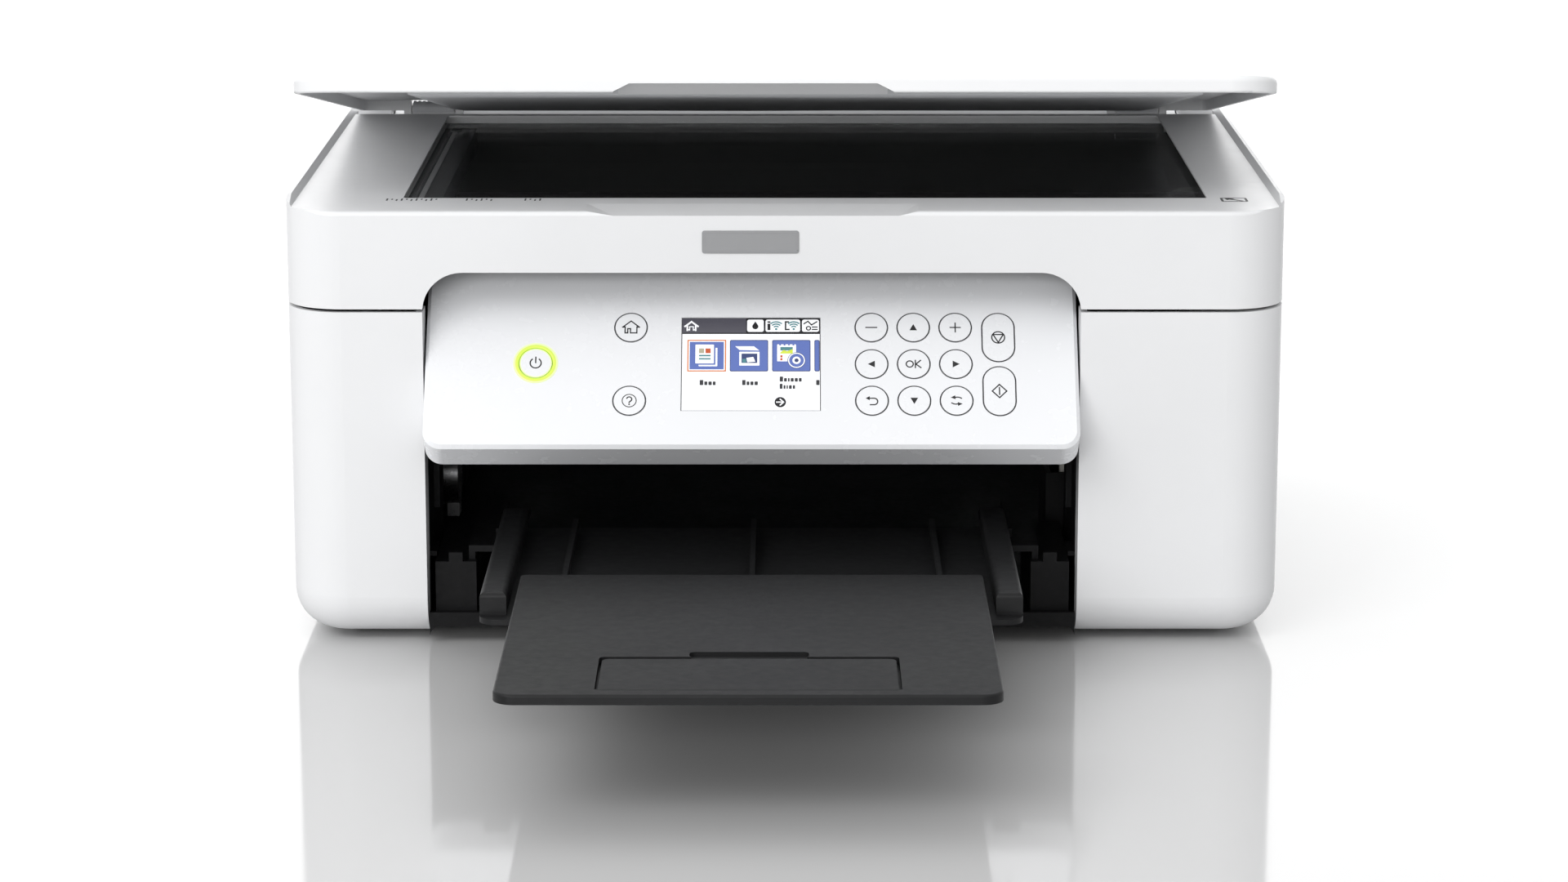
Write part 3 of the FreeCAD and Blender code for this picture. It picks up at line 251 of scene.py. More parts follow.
def banded(tree, coords, bands, below):
    """Colours that change at given places along one axis of the part, over the colour below."""
    axis, stops = bands
    split = add_node(tree, "ShaderNodeSeparateXYZ")
    tree.links.new(coords.outputs["Object"], split.inputs["Vector"])
    result = below
    for start, end, colour in stops:
        above = add_node(tree, "ShaderNodeMath", operation="GREATER_THAN")
        under = add_node(tree, "ShaderNodeMath", operation="LESS_THAN")
        both = add_node(tree, "ShaderNodeMath", operation="MULTIPLY")
        tree.links.new(split.outputs[axis], above.inputs[0])
        tree.links.new(split.outputs[axis], under.inputs[0])
        above.inputs[1].default_value, under.inputs[1].default_value = start, end
        tree.links.new(above.outputs[0], both.inputs[0])
        tree.links.new(under.outputs[0], both.inputs[1])
        mix = add_node(tree, "ShaderNodeMix", data_type="RGBA")
        tree.links.new(both.outputs[0], mix.inputs["Factor"])
        tree.links.new(result, mix.inputs["A"])
        mix.inputs["B"].default_value = (*colour, 1)
        result = mix.outputs["Result"]
    return result


def clear_glass():
    """Faintly green glass that lets the dark tub below show through."""
    mat, tree, shader, coords = node_material("scan_glass")
    tree.links.new(spread(tree, noise(tree, coords, 9.0, 5.0), 0.015, 0.05), shader.inputs["Roughness"])
    tint = tinted(tree, spread(tree, noise(tree, coords, 4.0), 0, 1), (0.88, 0.92, 0.91), (0.93, 0.95, 0.95))
    tree.links.new(tint, shader.inputs["Base Color"])
    shader.inputs["Transmission Weight"].default_value = 1.0
    shader.inputs["IOR"].default_value = 1.45
    shader.inputs["Specular IOR Level"].default_value = 0.16
    shader.inputs["Alpha"].default_value = 0.16
    return mat


def lit(name, colour, strength, tone=0.03):
    """A lit patch of a screen: its own light, seen through a fine dot grid."""
    mat, tree, shader, coords = node_material(name)
    dots = noise(tree, coords, 4200.0, 1.0)
    dark, light = [c * (1 - tone) for c in colour], [min(1, c * (1 + tone)) for c in colour]
    shade = tinted(tree, spread(tree, dots, 0, 1), dark, light)
    tree.links.new(shade, shader.inputs["Base Color"])
    tree.links.new(shade, shader.inputs["Emission Color"])
    shader.inputs["Emission Strength"].default_value = strength
    tree.links.new(spread(tree, noise(tree, coords, 60.0), 0.1, 0.16), shader.inputs["Roughness"])
    return mat


def make_materials():
    mats = {name: finish(name, colour, rough, **more) for name, (colour, rough, more) in FINISHES.items()}
    mats["scan_glass"] = clear_glass()
    mats.update({name: lit(name, colour, strength) for name, (colour, strength) in SCREEN_COLOURS.items()})
    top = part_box("main_board")[1].z
    mats["board_green"] = finish("board_green", BOARD_GREEN, 0.35, tone=0.15, tone_scale=120, grain=0.05,
                                 grain_scale=900,
                                 colour_bands=("Z", [(top - 12.0 * MM, top + 1 * MM, SOFT_BLACK)]))
    x0, x1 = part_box("ink_cartridges")[0].x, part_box("ink_cartridges")[1].x
    bay = (x1 - x0) / len(INKS)
    labels = [(x0 + bay * k - 1 * MM, x0 + bay * (k + 1), ink) for k, ink in enumerate(INKS)]
    mats["cartridge"] = finish("cartridge", (0.05, 0.05, 0.055), 0.3, tone=0.04, coat=0.2,
                               colour_bands=("X", labels))
    return mats


def roller_finish(name, rubber_from, rubber_to):
    """A roller: grey shaft, rubber where it grips and a pale gear at its left end."""
    return finish(name, (0.6, 0.6, 0.61), 0.3, tone=0.05, grain=0.04, grain_scale=900,
                  colour_bands=("X", [(rubber_from, rubber_to, (0.03, 0.03, 0.032)),
                                      (-1.0, ROLLER_GEAR_END_X, GEAR_PLASTIC)]))


def dress_nodes(nodes, mats):
    worn = {node: name for name, dressed in NODES_BY_FINISH.items() for node in dressed}
    for name, node in nodes.items():
        if name in ROLLER_HALF:
            half = ROLLER_HALF[name]
            mat = roller_finish(name + "_finish", SHEET_CENTRE_X - half, SHEET_CENTRE_X + half)
        elif name.endswith("_button"):
            mat = mats["key_white"]
        else:
            mat = mats[worn[name]]
        if not node.material_slots:
            node.data.materials.append(mat)
        for slot in node.material_slots:
            slot.material = mat


# ---------------------------------------------------------------- mesh helpers
def joint_pivot(joints, name):
    return Vector(next(j for j in joints if j["name"] == name)["pos_m"])


def piece(name, verts, faces, body, mat, smooth=False):
    """A mesh that moves with the given body and wears the given material."""
    mesh = bpy.data.meshes.new(name)
    mesh.from_pydata([tuple(v) for v in verts], [], faces)
    mesh.validate()
    mesh.update()
    for polygon in mesh.polygons:
        polygon.use_smooth = smooth
    mesh.materials.append(mat)
    obj = bpy.data.objects.new(name, mesh)
    bpy.context.scene.collection.objects.link(obj)
    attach(obj, body)
    return obj


def prism(loops, place, low, high):
    """Solid plates from flat outlines: each loop is (outer points, inner points or None)."""
    verts, faces = [], []
    for outer, inner in loops:
        start, count = len(verts), len(outer)
        for ring, depth in ((outer, low), (outer, high)):
            verts += [place(a, b, depth) for a, b in ring]
        for k in range(count):
            n = (k + 1) % count
            faces.append((start + k, start + n, start + count + n, start + count + k))
        if inner is None:
            faces.append(tuple(range(start + count - 1, start - 1, -1)))
            faces.append(tuple(range(start + count, start + 2 * count)))
            continue
        hole = len(verts)
        for ring, depth in ((inner, low), (inner, high)):
            verts += [place(a, b, depth) for a, b in ring]
        for k in range(count):
            n = (k + 1) % count
            faces.append((hole + n, hole + k, hole + count + k, hole + count + n))
            faces.append((start + n, start + k, hole + k, hole + n))
            faces.append((start + count + k, start + count + n, hole + count + n, hole + count + k))
    return verts, faces


def arc(cx, cy, radius, start, end, steps=40):
    turn = [math.radians(start + (end - start) * k / steps) for k in range(steps + 1)]
    return [(cx + radius * math.cos(t), cy + radius * math.sin(t)) for t in turn]


def disc(cx, cy, radius, steps=48):
    return [(arc(cx, cy, radius, 0, 360, steps)[:-1], None)]


def ring(cx, cy, outer, inner, steps=64):
    return [(arc(cx, cy, outer, 0, 360, steps)[:-1], arc(cx, cy, inner, 0, 360, steps)[:-1])]


def open_ring(cx, cy, radius, width, start, end, steps=36):
    outer = arc(cx, cy, radius + width / 2, start, end, steps)
    inner = arc(cx, cy, radius - width / 2, end, start, steps)
    return [(outer + inner, None)]


def stroke(points, width):
    """A line of the given width through points, with square joints."""
    loops = []
    for (ax, ay), (bx, by) in zip(points, points[1:]):
        length = math.hypot(bx - ax, by - ay)
        ux, uy = (bx - ax) / length * width / 2, (by - ay) / length * width / 2
        loops.append(([(ax - ux + uy, ay - uy - ux), (bx + ux + uy, by + uy - ux),
                       (bx + ux - uy, by + uy + ux), (ax - ux - uy, ay - uy + ux)], None))
    return loops


def rounded_box(x0, x1, y0, y1, radius, steps=8):
    points = []
    for cx, cy, start in ((x1 - radius, y1 - radius, 0), (x0 + radius, y1 - radius, 90),
                          (x0 + radius, y0 + radius, 180), (x1 - radius, y0 + radius, 270)):
        points += arc(cx, cy, radius, start, start + 90, steps)
    return points


def plate(x0, x1, y0, y1, radius):
    return [(rounded_box(x0, x1, y0, y1, radius), None)]


def frame_line(x0, x1, y0, y1, radius, width):
    inner = rounded_box(x0 + width, x1 - width, y0 + width, y1 - width, max(radius - width, 0.0001))
    return [(rounded_box(x0, x1, y0, y1, radius), inner)]


def oriented(loops):
    """Turns every outline to run anticlockwise so that faces point outwards."""
    def area(points):
        return sum(a[0] * b[1] - b[0] * a[1] for a, b in zip(points, points[1:] + points[:1]))

    result = []
    for outer, inner in loops:
        outer = outer if area(outer) > 0 else outer[::-1]
        if inner is not None and area(inner) < 0:
            inner = inner[::-1]
        result.append((outer, inner))
    return result


# ---------------------------------------------------------------- the control panel's face
class Face:
    """The panel's tilted face: points are given across, up the face, and out of it."""

    def __init__(self, joints):
        tilt = next(j for j in joints if j["name"] == "panel_tilt")
        lean = math.radians(-tilt["range_deg"][0])
        pivot = Vector(tilt["pos_m"])
        self.up = Vector((0, math.sin(lean), math.cos(lean)))
        self.out = Vector((0, -math.cos(lean), math.sin(lean)))
        self.foot = pivot - PANEL_PIVOT[0] * self.up + PANEL_PIVOT[1] * self.out
        self.foot.x = 0

    def at(self, across, up, out):
        return self.foot + Vector((across, 0, 0)) + up * self.up + out * self.out

    def spot(self, node):
        """Centre of a CAD node on the face, and how far it stands out."""
        ups = [(v.co - self.foot).dot(self.up) for v in node.data.vertices]
        outs = [(v.co - self.foot).dot(self.out) for v in node.data.vertices]
        across = [v.co.x for v in node.data.vertices]
        return (min(across) + max(across)) / 2, (min(ups) + max(ups)) / 2, max(outs)


def print_on_key(face, node, label, loops, mats):
    """Ink on a key, in millimetres from the key's centre."""
    cx, cy, out = face.spot(node)
    place = lambda a, b, d: face.at(cx + a * MM, cy + b * MM, out + d)
    verts, faces = prism(oriented(loops), place, -0.02 * MM, 0.03 * MM)
    return piece(label, verts, faces, node["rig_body"], mats["print_black"])


def triangle(quarters):
    """The arrow keys' triangle, turned by quarter turns."""
    cos, sin = math.cos(quarters * math.pi / 2), math.sin(quarters * math.pi / 2)
    arrow = ((-1.4, -1.2), (1.4, -1.2), (0, 1.4))
    return [([(x * cos - y * sin, x * sin + y * cos) for x, y in arrow], None)]


def key_symbols():
    """Generic signs for the keys, in millimetres from each key's centre."""
    thin = SYMBOL_LINE
    wall = [(-2.2, 0.25), (-2.2, -2.3), (-1.2, -2.3), (-1.2, -0.5), (-0.2, -0.5), (-0.2, -2.3), (2.2, -2.3),
            (2.2, 0.25)]
    home = (stroke([(-3.1, 0.15), (0, 2.7), (3.1, 0.15)], thin) + stroke([(-3.1, 0.15), (-2.2, 0.15)], thin)
            + stroke([(3.1, 0.15), (2.2, 0.15)], thin) + stroke(wall, thin))
    ask = (open_ring(0, 0, 2.6, 0.34, 0, 360) + open_ring(0, 0.6, 0.95, thin, -62, 172)
           + stroke([(0.42, -0.22), (0.0, -0.72)], thin) + disc(0, -1.5, 0.32, 16))
    okay = (open_ring(-1.5, 0, 1.3, thin, 0, 360) + stroke([(0.6, -1.5), (0.6, 1.5)], thin)
            + stroke([(2.5, 1.5), (0.8, -0.05), (2.65, -1.5)], thin))
    back = ([([(-2.35, 1.0), (-0.85, 1.85), (-0.85, 0.15)], None)] + stroke([(-1.2, 1.0), (0.75, 1.0)], thin)
            + open_ring(0.75, -0.35, 1.35, thin, -90, 90) + stroke([(0.75, -1.7), (-0.6, -1.7)], thin))
    options = (open_ring(0.35, -0.95, 2.4, thin, 48, 112) + [([(-2.2, 1.3), (-0.5, 2.2), (-0.4, 0.6)], None)]
               + open_ring(-0.35, 0.95, 2.4, thin, 228, 292)
               + [([(2.2, -1.3), (0.5, -2.2), (0.4, -0.6)], None)])
    stop = (open_ring(0, 0, 2.4, thin, 0, 360)
            + stroke([(-1.9, 1.2), (1.9, 1.2), (0, -2.1), (-1.9, 1.2)], thin))
    start = (stroke([(0, 2.75), (2.7, 0), (0, -2.75), (-2.7, 0), (0, 2.75)], thin)
             + stroke([(0, 1.4), (0, -1.4)], thin))
    return {
        "power": open_ring(0, 0, 2.05, 0.5, 122, 418) + stroke([(0, 0.2), (0, 2.45)], 0.5),
        "home": home, "help": ask,
        "minus": stroke([(-2.0, 0), (2.0, 0)], thin),
        "plus": stroke([(-1.85, 0), (1.85, 0)], thin) + stroke([(0, -1.85), (0, 1.85)], thin),
        "up": triangle(0), "left": triangle(1), "down": triangle(2), "right": triangle(-1),
        "ok": okay, "back": back, "options": options, "stop": stop, "start": start,
    }


def print_keys(face, nodes, mats):
    """Symbols on every key, and a thin dark line round each key's rim except the power key's."""
    for name, loops in key_symbols().items():
        node = nodes[name + "_button"]
        print_on_key(face, node, name + "_symbol", loops, mats)
        if name == "power":
            continue
        low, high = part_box(name + "_button")
        half = (high.x - low.x) / 2 / MM - 0.75
        inner = half - RIM_LINE
        cx, cy, out = face.spot(node)
        if name in ("stop", "start"):
            tall = LONG_KEY_HALF
            outline = [(rounded_box(-half, half, -tall, tall, half - 0.01, 16),
                        rounded_box(-half + RIM_LINE, inner, -tall + RIM_LINE, tall - RIM_LINE,
                                    inner - 0.01, 16))]
        else:
            outline = ring(0, 0, half, inner)
        # a thin near-black line drawn on the key's rim
        place = lambda a, b, d: face.at(cx + a * MM, cy + b * MM, out + d)
        verts, faces = prism(oriented(outline), place, -0.30 * MM, 0.012 * MM)
        piece(name + "_outline", verts, faces, node["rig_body"], mats["key_rim_dark"])


def power_glow(face, nodes, mats):
    """Raised light guide over the ring node: a soft-edged band that shines round the power key."""
    cx, cy, out = face.spot(nodes["power_button"])
    profile = [(6.36, -0.02), (6.5, 0.10), (7.0, 0.17), (7.5, 0.12), (7.78, -0.02)]
    verts, faces, steps = [], [], 96
    for k in range(steps):
        t = 2 * math.pi * k / steps
        verts += [face.at(cx + r * MM * math.cos(t), cy + r * MM * math.sin(t), out - 0.05 * MM + h * MM)
                  for r, h in profile]
    count = len(profile)
    for k in range(steps):
        here, after = k * count, (k + 1) % steps * count
        faces += [(here + j, after + j, after + j + 1, here + j + 1) for j in range(count - 1)]
        faces.append((here + count - 1, after + count - 1, after, here))
    piece("power_light", verts, [f[::-1] for f in faces], "panel", mats["ring_lit"], smooth=True)
    place = lambda a, b, d: face.at(cx + a * MM, cy + b * MM, out + d)
    key_body = nodes["power_button"]["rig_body"]
    # painted glow of the ring's light: a faint green band on the panel round the ring and another on the
    # power key's rim
    for label, outer, inner, body, slot in (("panel_painted_glow", 8.35, 7.6, "panel", "ring_lit"),
                                            ("key_painted_glow", 6.02, 5.6, key_body, "key_white")):
        verts, faces = prism(oriented(ring(0, 0, outer, inner)), place, -0.3 * MM, 0.012 * MM)
        piece(label, verts, faces, body, mats["painted_ring_glow"])


# ---------------------------------------------------------------- the page on the colour screen
def screen(face, nodes, mats):
    """The home page on the colour screen, in SCREEN_GRID units measured from its top left corner."""
    low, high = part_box("lcd_module")
    module = nodes["lcd_module"]
    ups = [(v.co - face.foot).dot(face.up) for v in module.data.vertices]
    outs = [(v.co - face.foot).dot(face.out) for v in module.data.vertices]
    left, right = low.x + SCREEN_MARGIN[0], high.x - SCREEN_MARGIN[0]
    top, bottom = max(ups) - SCREEN_MARGIN[1], min(ups) + SCREEN_MARGIN[1]
    wide, tall, front = right - left, top - bottom, max(outs)
    across, down = SCREEN_GRID

    def grid(loops, layer, name, mat):
        place = lambda a, b, d: face.at(left + wide * a / across, top - tall * b / down, front + d)
        back = (layer * SCREEN_LAYER - 0.01) * MM
        verts, faces = prism(oriented(loops), place, back, (layer + 1) * SCREEN_LAYER * MM)
        return piece("screen_" + name, verts, [f[::-1] for f in faces], "panel", mats[mat])

    grid(plate(0, across, 0, down, 0.3), 0, "page", "ui_white")
    grid(frame_line(0, across, 0, down, 0.3, 0.35), 1, "edge", "ui_grey")
    status_bar(grid)
    tiles(grid)
    copy_icon(grid)
    scan_icon(grid)
    mixed_icon(grid)
    captions(grid)


def status_bar(grid):
    """The dark bar along the top, with a house and three pale fields of small signs."""
    grid(plate(0.2, 99.8, 0.2, 12.8, 0.2), 2, "bar", "ui_bar")
    grid(plate(0.2, 99.8, 12.0, 12.9, 0.2) + plate(46.4, 99.8, 0.2, 12.8, 0.2), 3, "bar_shade", "ui_black")
    fields = [(47.2, 59.2), (60.5, 85.6), (86.9, 99.2)]
    grid([loop for x0, x1 in fields for loop in plate(x0, x1, 1.2, 11.2, 1.6)], 4, "status", "ui_white")
    house = (stroke([(2.3, 6.7), (6.9, 3.0), (11.5, 6.7)], 1.3) + stroke([(3.9, 6.2), (3.9, 9.9)], 1.2)
             + stroke([(9.9, 6.2), (9.9, 9.9)], 1.2) + plate(3.3, 5.9, 9.0, 10.0, 0.2)
             + plate(7.9, 10.5, 9.0, 10.0, 0.2)
             + stroke([(5.6, 9.9), (5.6, 7.0), (8.2, 7.0), (8.2, 9.9)], 0.7))
    grid(house, 4, "home_icon", "ui_white")
    drop = [([(53.1, 2.7)] + arc(53.1, 6.9, 2.2, -35, 215, 20), None)]
    grid(drop + plate(61.9, 64.0, 2.6, 3.8, 0.3) + plate(61.9, 64.0, 4.6, 9.8, 0.3)
         + stroke([(77.0, 3.1), (75.0, 3.1), (75.0, 9.3), (77.4, 9.3)], 1.1), 5, "status_dark", "ui_black")
    fans = []
    for cx in (68.2, 80.9):
        for radius in (2.5, 4.3, 6.1):
            fans += open_ring(cx, 9.2, radius, 1.0, 228, 312, 12)
        fans += disc(cx, 9.0, 0.85, 14)
    grid(fans, 5, "status_waves", "ui_teal")
    grid(stroke([(88.4, 4.6), (91.2, 2.6), (93.8, 5.6), (97.6, 3.0)], 0.9)
         + open_ring(91.6, 8.3, 1.5, 0.9, 0, 360, 14) + stroke([(94.4, 7.3), (97.8, 7.3)], 0.9)
         + stroke([(94.4, 9.3), (97.8, 9.3)], 0.9), 5, "status_quiet", "ui_black")


def tiles(grid):
    """Four blue tiles, the last cut off by the edge, and the frame round the chosen first one."""
    for x0, x1 in ((4.1, 32.1), (34.8, 62.4), (65.3, 93.0), (95.8, 99.6)):
        label = f"tile_{int(x0)}"
        grid(plate(x0, x1, 17.8, 43.3, 1.2), 3, label + "_rim", "ui_blue_rim")
        grid(plate(x0 + 0.5, x1 - 0.5, 18.4, 42.7, 1.0), 4, label, "ui_blue")
    grid(frame_line(4.1, 32.1, 17.7, 43.4, 0.4, 0.9), 5, "chosen", "ui_orange")
    grid(frame_line(5.0, 31.2, 18.6, 42.5, 0.3, 0.8), 5, "chosen_inner", "ui_white")


def copy_icon(grid):
    """Two sheets, one over the other."""
    grid(plate(12.3, 25.8, 24.2, 39.2, 0.4), 5, "copy_under", "ui_white")
    grid(plate(9.6, 24.4, 21.2, 38.0, 0.4), 6, "copy_gap", "ui_blue")
    grid(plate(9.9, 23.3, 21.6, 36.9, 0.5), 7, "copy_sheet", "ui_white")
    grid(plate(12.5, 16.2, 24.8, 28.6, 0.2), 8, "copy_block_a", "ui_sand")
    grid(plate(17.2, 20.9, 24.8, 28.6, 0.2), 8, "copy_block_b", "ui_red")
    grid(plate(12.5, 20.9, 30.0, 31.2, 0.2) + plate(12.5, 20.9, 32.6, 33.8, 0.2), 8, "copy_lines", "ui_teal")


def scan_icon(grid):
    """A flatbed with its lid up and a sheet in it."""
    bed, well = rounded_box(41.6, 56.2, 27.4, 38.6, 0.4), (43.2, 54.6, 28.9, 36.5, 0.3)
    grid([([(38.6, 23.0), (52.2, 23.0), (56.0, 26.4), (41.8, 26.0)], None)], 5, "scan_lid", "ui_white")
    grid([(bed, rounded_box(*well))], 5, "scan_bed", "ui_white")
    grid(plate(*well), 5, "scan_well", "ui_blue_rim")
    grid([([(46.7, 32.4), (51.7, 31.6), (53.2, 35.4), (47.4, 36.0)], None)], 6, "scan_sheet", "ui_white")
    grid(plate(43.8, 46.6, 33.2, 36.2, 0.3), 6, "scan_corner", "ui_teal")


def mixed_icon(grid):
    """A calendar sheet with a picture on it, and a disc in front."""
    grid(plate(68.9, 82.6, 21.4, 35.2, 0.5), 5, "mixed_sheet", "ui_white")
    grid([loop for x0 in (70.4, 73.6, 76.8, 80.0) for loop in plate(x0, x0 + 1.3, 21.3, 22.3, 0.2)],
         6, "mixed_holes", "ui_blue")
    grid(plate(71.2, 80.2, 23.6, 26.4, 0.2), 6, "mixed_sky", "ui_teal")
    field = [(71.2, 28.0), (73.6, 26.0), (76.2, 27.0), (80.2, 25.2), (80.2, 28.9), (71.2, 28.9)]
    grid([(field, None)], 7, "mixed_field", "ui_green")
    grid(plate(71.2, 72.8, 30.2, 32.0, 0.2) + plate(71.2, 72.8, 32.6, 34.4, 0.2), 6, "mixed_mark", "ui_red")
    hub = (82.9, 34.4)
    grid(disc(*hub, 6.5), 6, "disc_gap", "ui_blue_rim")
    grid(disc(*hub, 6.1), 7, "disc_white", "ui_white")
    grid(ring(*hub, 5.3, 3.0), 8, "disc_blue", "ui_blue")
    grid(disc(*hub, 1.5, 24), 8, "disc_hub", "ui_blue_rim")


def captions(grid):
    """Plain blobs where the captions stand, and the round arrow to the next page."""
    words = [(13.2, 51.4, (2.6, 2.2, 2.4, 2.0)), (43.8, 51.4, (2.4, 2.0, 2.2, 2.4)),
             (70.8, 48.6, (2.4, 2.0, 1.2, 2.2, 2.2, 2.0)), (70.8, 54.4, (2.0, 1.4, 1.0, 2.0, 1.6)),
             (97.0, 51.4, (2.4,))]
    blobs = []
    for x, y, widths in words:
        for k, width in enumerate(widths):
            above = 1.2 if k == 0 else 0.0
            blobs += plate(x, x + width, y - above, y + 2.9, 0.5)
            x += width + 0.75
    grid(blobs, 2, "captions", "ui_text")
    grid(disc(71.2, 68.0, 4.1), 2, "next_dot", "ui_black")
    grid(stroke([(68.6, 68.0), (73.4, 68.0)], 0.9) + stroke([(71.2, 65.7), (73.6, 68.0), (71.2, 70.3)], 0.9),
         3, "next_arrow", "ui_white")


# ---------------------------------------------------------------- the scanner unit's trim
def badge(mats):
    """Blank nameplate on the front apron."""
    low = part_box("scanner_top_frame")[0]
    cx, z = -12.85 * MM, low.z + 25.4 * MM
    place = lambda a, b, d: Vector((cx + a * MM, low.y - d, z + b * MM))
    layers = (("badge_plate", plate(-18, 18, -4.3, 4.3, 1.0), -0.3, 0.28),
              ("badge_rim", frame_line(-17.4, 17.4, -3.7, 3.7, 0.8, 0.4), 0.2, 0.4))
    for label, outline, back, front in layers:
        verts, faces = prism(oriented(outline), place, back * MM, front * MM)
        piece(label, verts, [f[::-1] for f in faces], "scanner", mats["badge_grey"])


def deck_marks(mats):
    """Paper-size ticks and a corner arrow printed beside the glass."""
    glass_low, glass_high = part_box("scanner_glass")
    deck = glass_high.z + 0.82 * MM
    left, right, front = glass_low.x + 4 * MM, glass_high.x - 4 * MM, glass_low.y + 4 * MM
    back, face = -0.05 * MM, 0.03 * MM
    place = lambda a, b, d: Vector((a, b, deck + d))
    tick_wide, tick_pitch = 0.62, 1.85
    ticks = []
    for start, count in ((-6, 11), (24, 6), (46, 4)):
        for k in range(count):
            x = left + (start + tick_pitch * k) * MM
            long, low_end = (4.6, 2.2, 3.4)[k % 3], (0.0, 1.6, 0.6)[(k * 2) % 3]
            y = front - (1.6 + low_end) * MM
            x_end, y_end = x + tick_wide * MM, y - long * MM
            ticks += [([(x, y_end), (x_end, y_end), (x_end, y), (x, y)], None)]
    verts, faces = prism(oriented(ticks), place, back, face)
    piece("size_ticks", verts, faces, "scanner", mats["print_black"])
    x, y = right + 3.2 * MM, front - 5.0 * MM
    corner = (frame_line(1.5, 11.5, -3.6, 5.0, 1.0, 0.9) + stroke([(9.0, -1.6), (5.0, 2.2)], 1.3)
              + [([(3.2, 4.0), (3.8, 0.2), (7.0, 3.4)], None)])
    at_corner = lambda points: points and [(x + a * MM, y + b * MM) for a, b in points]
    placed = [(at_corner(outer), at_corner(inner)) for outer, inner in corner]
    verts, faces = prism(oriented(placed), place, back, face)
    piece("corner_mark", verts, faces, "scanner", mats["print_black"])


def boxes_piece(name, boxes, body, mat, bevel=0.0):
    """Small blocks given by their corners, in metres, with broken edges."""
    verts, faces = [], []
    for (x0, y0, z0), (x1, y1, z1) in boxes:
        n = len(verts)
        verts += [(x, y, z) for z in (z0, z1) for x, y in ((x0, y0), (x1, y0), (x1, y1), (x0, y1))]
        faces += [tuple(n + i for i in f) for f in
                  ((0, 3, 2, 1), (4, 5, 6, 7), (0, 1, 5, 4), (1, 2, 6, 5), (2, 3, 7, 6), (3, 0, 4, 7))]
    obj = piece(name, verts, faces, body, mat)
    if bevel:
        soft = obj.modifiers.new("edges", "BEVEL")
        soft.width, soft.segments, soft.limit_method = bevel, 2, "ANGLE"
    return obj


def scanner_inside(mats):
    """What shows through the glass: lens line and rollers of the sensor bar, a dark blind, a white strip."""
    bar_low, bar_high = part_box("scan_carriage")
    low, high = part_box("scanner_glass")
    x, top = (bar_low.x + bar_high.x) / 2, bar_high.z
    lens = ((x - 1.0 * MM, bar_low.y + 4 * MM, top - 1.6 * MM),
            (x + 1.0 * MM, bar_high.y - 4 * MM, top - 0.9 * MM))
    boxes_piece("lens_line", [lens], "scan_bar", mats["strip_white"], 0.2 * MM)
    rollers = [((x - 7 * MM, y, top - 0.6 * MM), (x - 4 * MM, y + 4 * MM, top + 0.3 * MM))
               for y in (bar_low.y + 6 * MM, bar_high.y - 10 * MM)]
    boxes_piece("bar_rollers", rollers, "scan_bar", mats["gear_white"], 0.3 * MM)
    blind = ((low.x + 1 * MM, high.y - 0.2 * MM, low.z - 4.2 * MM),
             (high.x - 1 * MM, high.y + 0.5 * MM, low.z - 0.2 * MM))
    boxes_piece("rear_blind", [blind], "scanner", mats["print_black"], 0.1 * MM)
    strip = ((low.x + 0.2 * MM, low.y + 2 * MM, low.z - 0.25 * MM),
             (low.x + 3.8 * MM, high.y - 2 * MM, low.z - 0.05 * MM))
    boxes_piece("reference_strip", [strip], "scanner", mats["strip_white"])


def hinge_barrels(joints, mats):
    """Ribbed sleeves round the lid's pins on top of both hinge posts, turned from one closed profile."""
    pivot = joint_pivot(joints, "lid_open")
    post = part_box("lid_hinge_posts")[1].x
    length, bore, steps, ribs = 17.2 * MM, 1.8 * MM, 32, 17
    pitch = length / ribs
    for label, side in (("left", -1), ("right", 1)):
        start = side * (post - 0.4 * MM) - (length if side > 0 else 0)
        profile = []
        for k in range(ribs):
            radius = (3.5, 3.2)[k % 2] * MM
            profile += [(start + k * pitch, radius), (start + (k + 1) * pitch, radius)]
        profile += [(start + length, bore), (start, bore)]
        verts, faces = [], []
        for x, radius in profile:
            for k in range(steps):
                turn = 2 * math.pi * k / steps
                verts.append((x, pivot.y + radius * math.cos(turn), pivot.z + radius * math.sin(turn)))
        for row in range(len(profile)):
            here, after = row * steps, (row + 1) % len(profile) * steps
            for k in range(steps):
                n = (k + 1) % steps
                faces.append((here + k, here + n, after + n, after + k))
        piece("hinge_barrel_" + label, verts, faces, "hinge_posts", mats["panel_grey"])


def turned_about(pivot, angle):
    """A function that turns a point about the lid's hinge line by the angle."""
    sin, cos = math.sin(angle), math.cos(angle)

    def turn(v):
        y, z = v.y - pivot.y, v.z - pivot.z
        return Vector((v.x, pivot.y + y * cos - z * sin, pivot.z + y * sin + z * cos))

    return turn


def slab_faces(nx, ny):
    """Faces of a closed slab: a lower and an upper sheet of nx by ny cells, then its four edges."""
    row = nx + 1
    size = row * (ny + 1)
    faces = []
    for j in range(ny):
        for i in range(nx):
            a = j * row + i
            faces.append((a, a + row, a + row + 1, a + 1))
            faces.append((size + a, size + a + 1, size + a + row + 1, size + a + row))
    for i in range(nx):
        faces.append((i, i + 1, size + i + 1, size + i))
        a = ny * row + i
        faces.append((a + 1, a, size + a, size + a + 1))
    for j in range(ny):
        a = j * row
        faces.append((a + row, a, size + a, size + a + row))
        a = j * row + nx
        faces.append((a, a + row, size + a + row, size + a))
    return faces


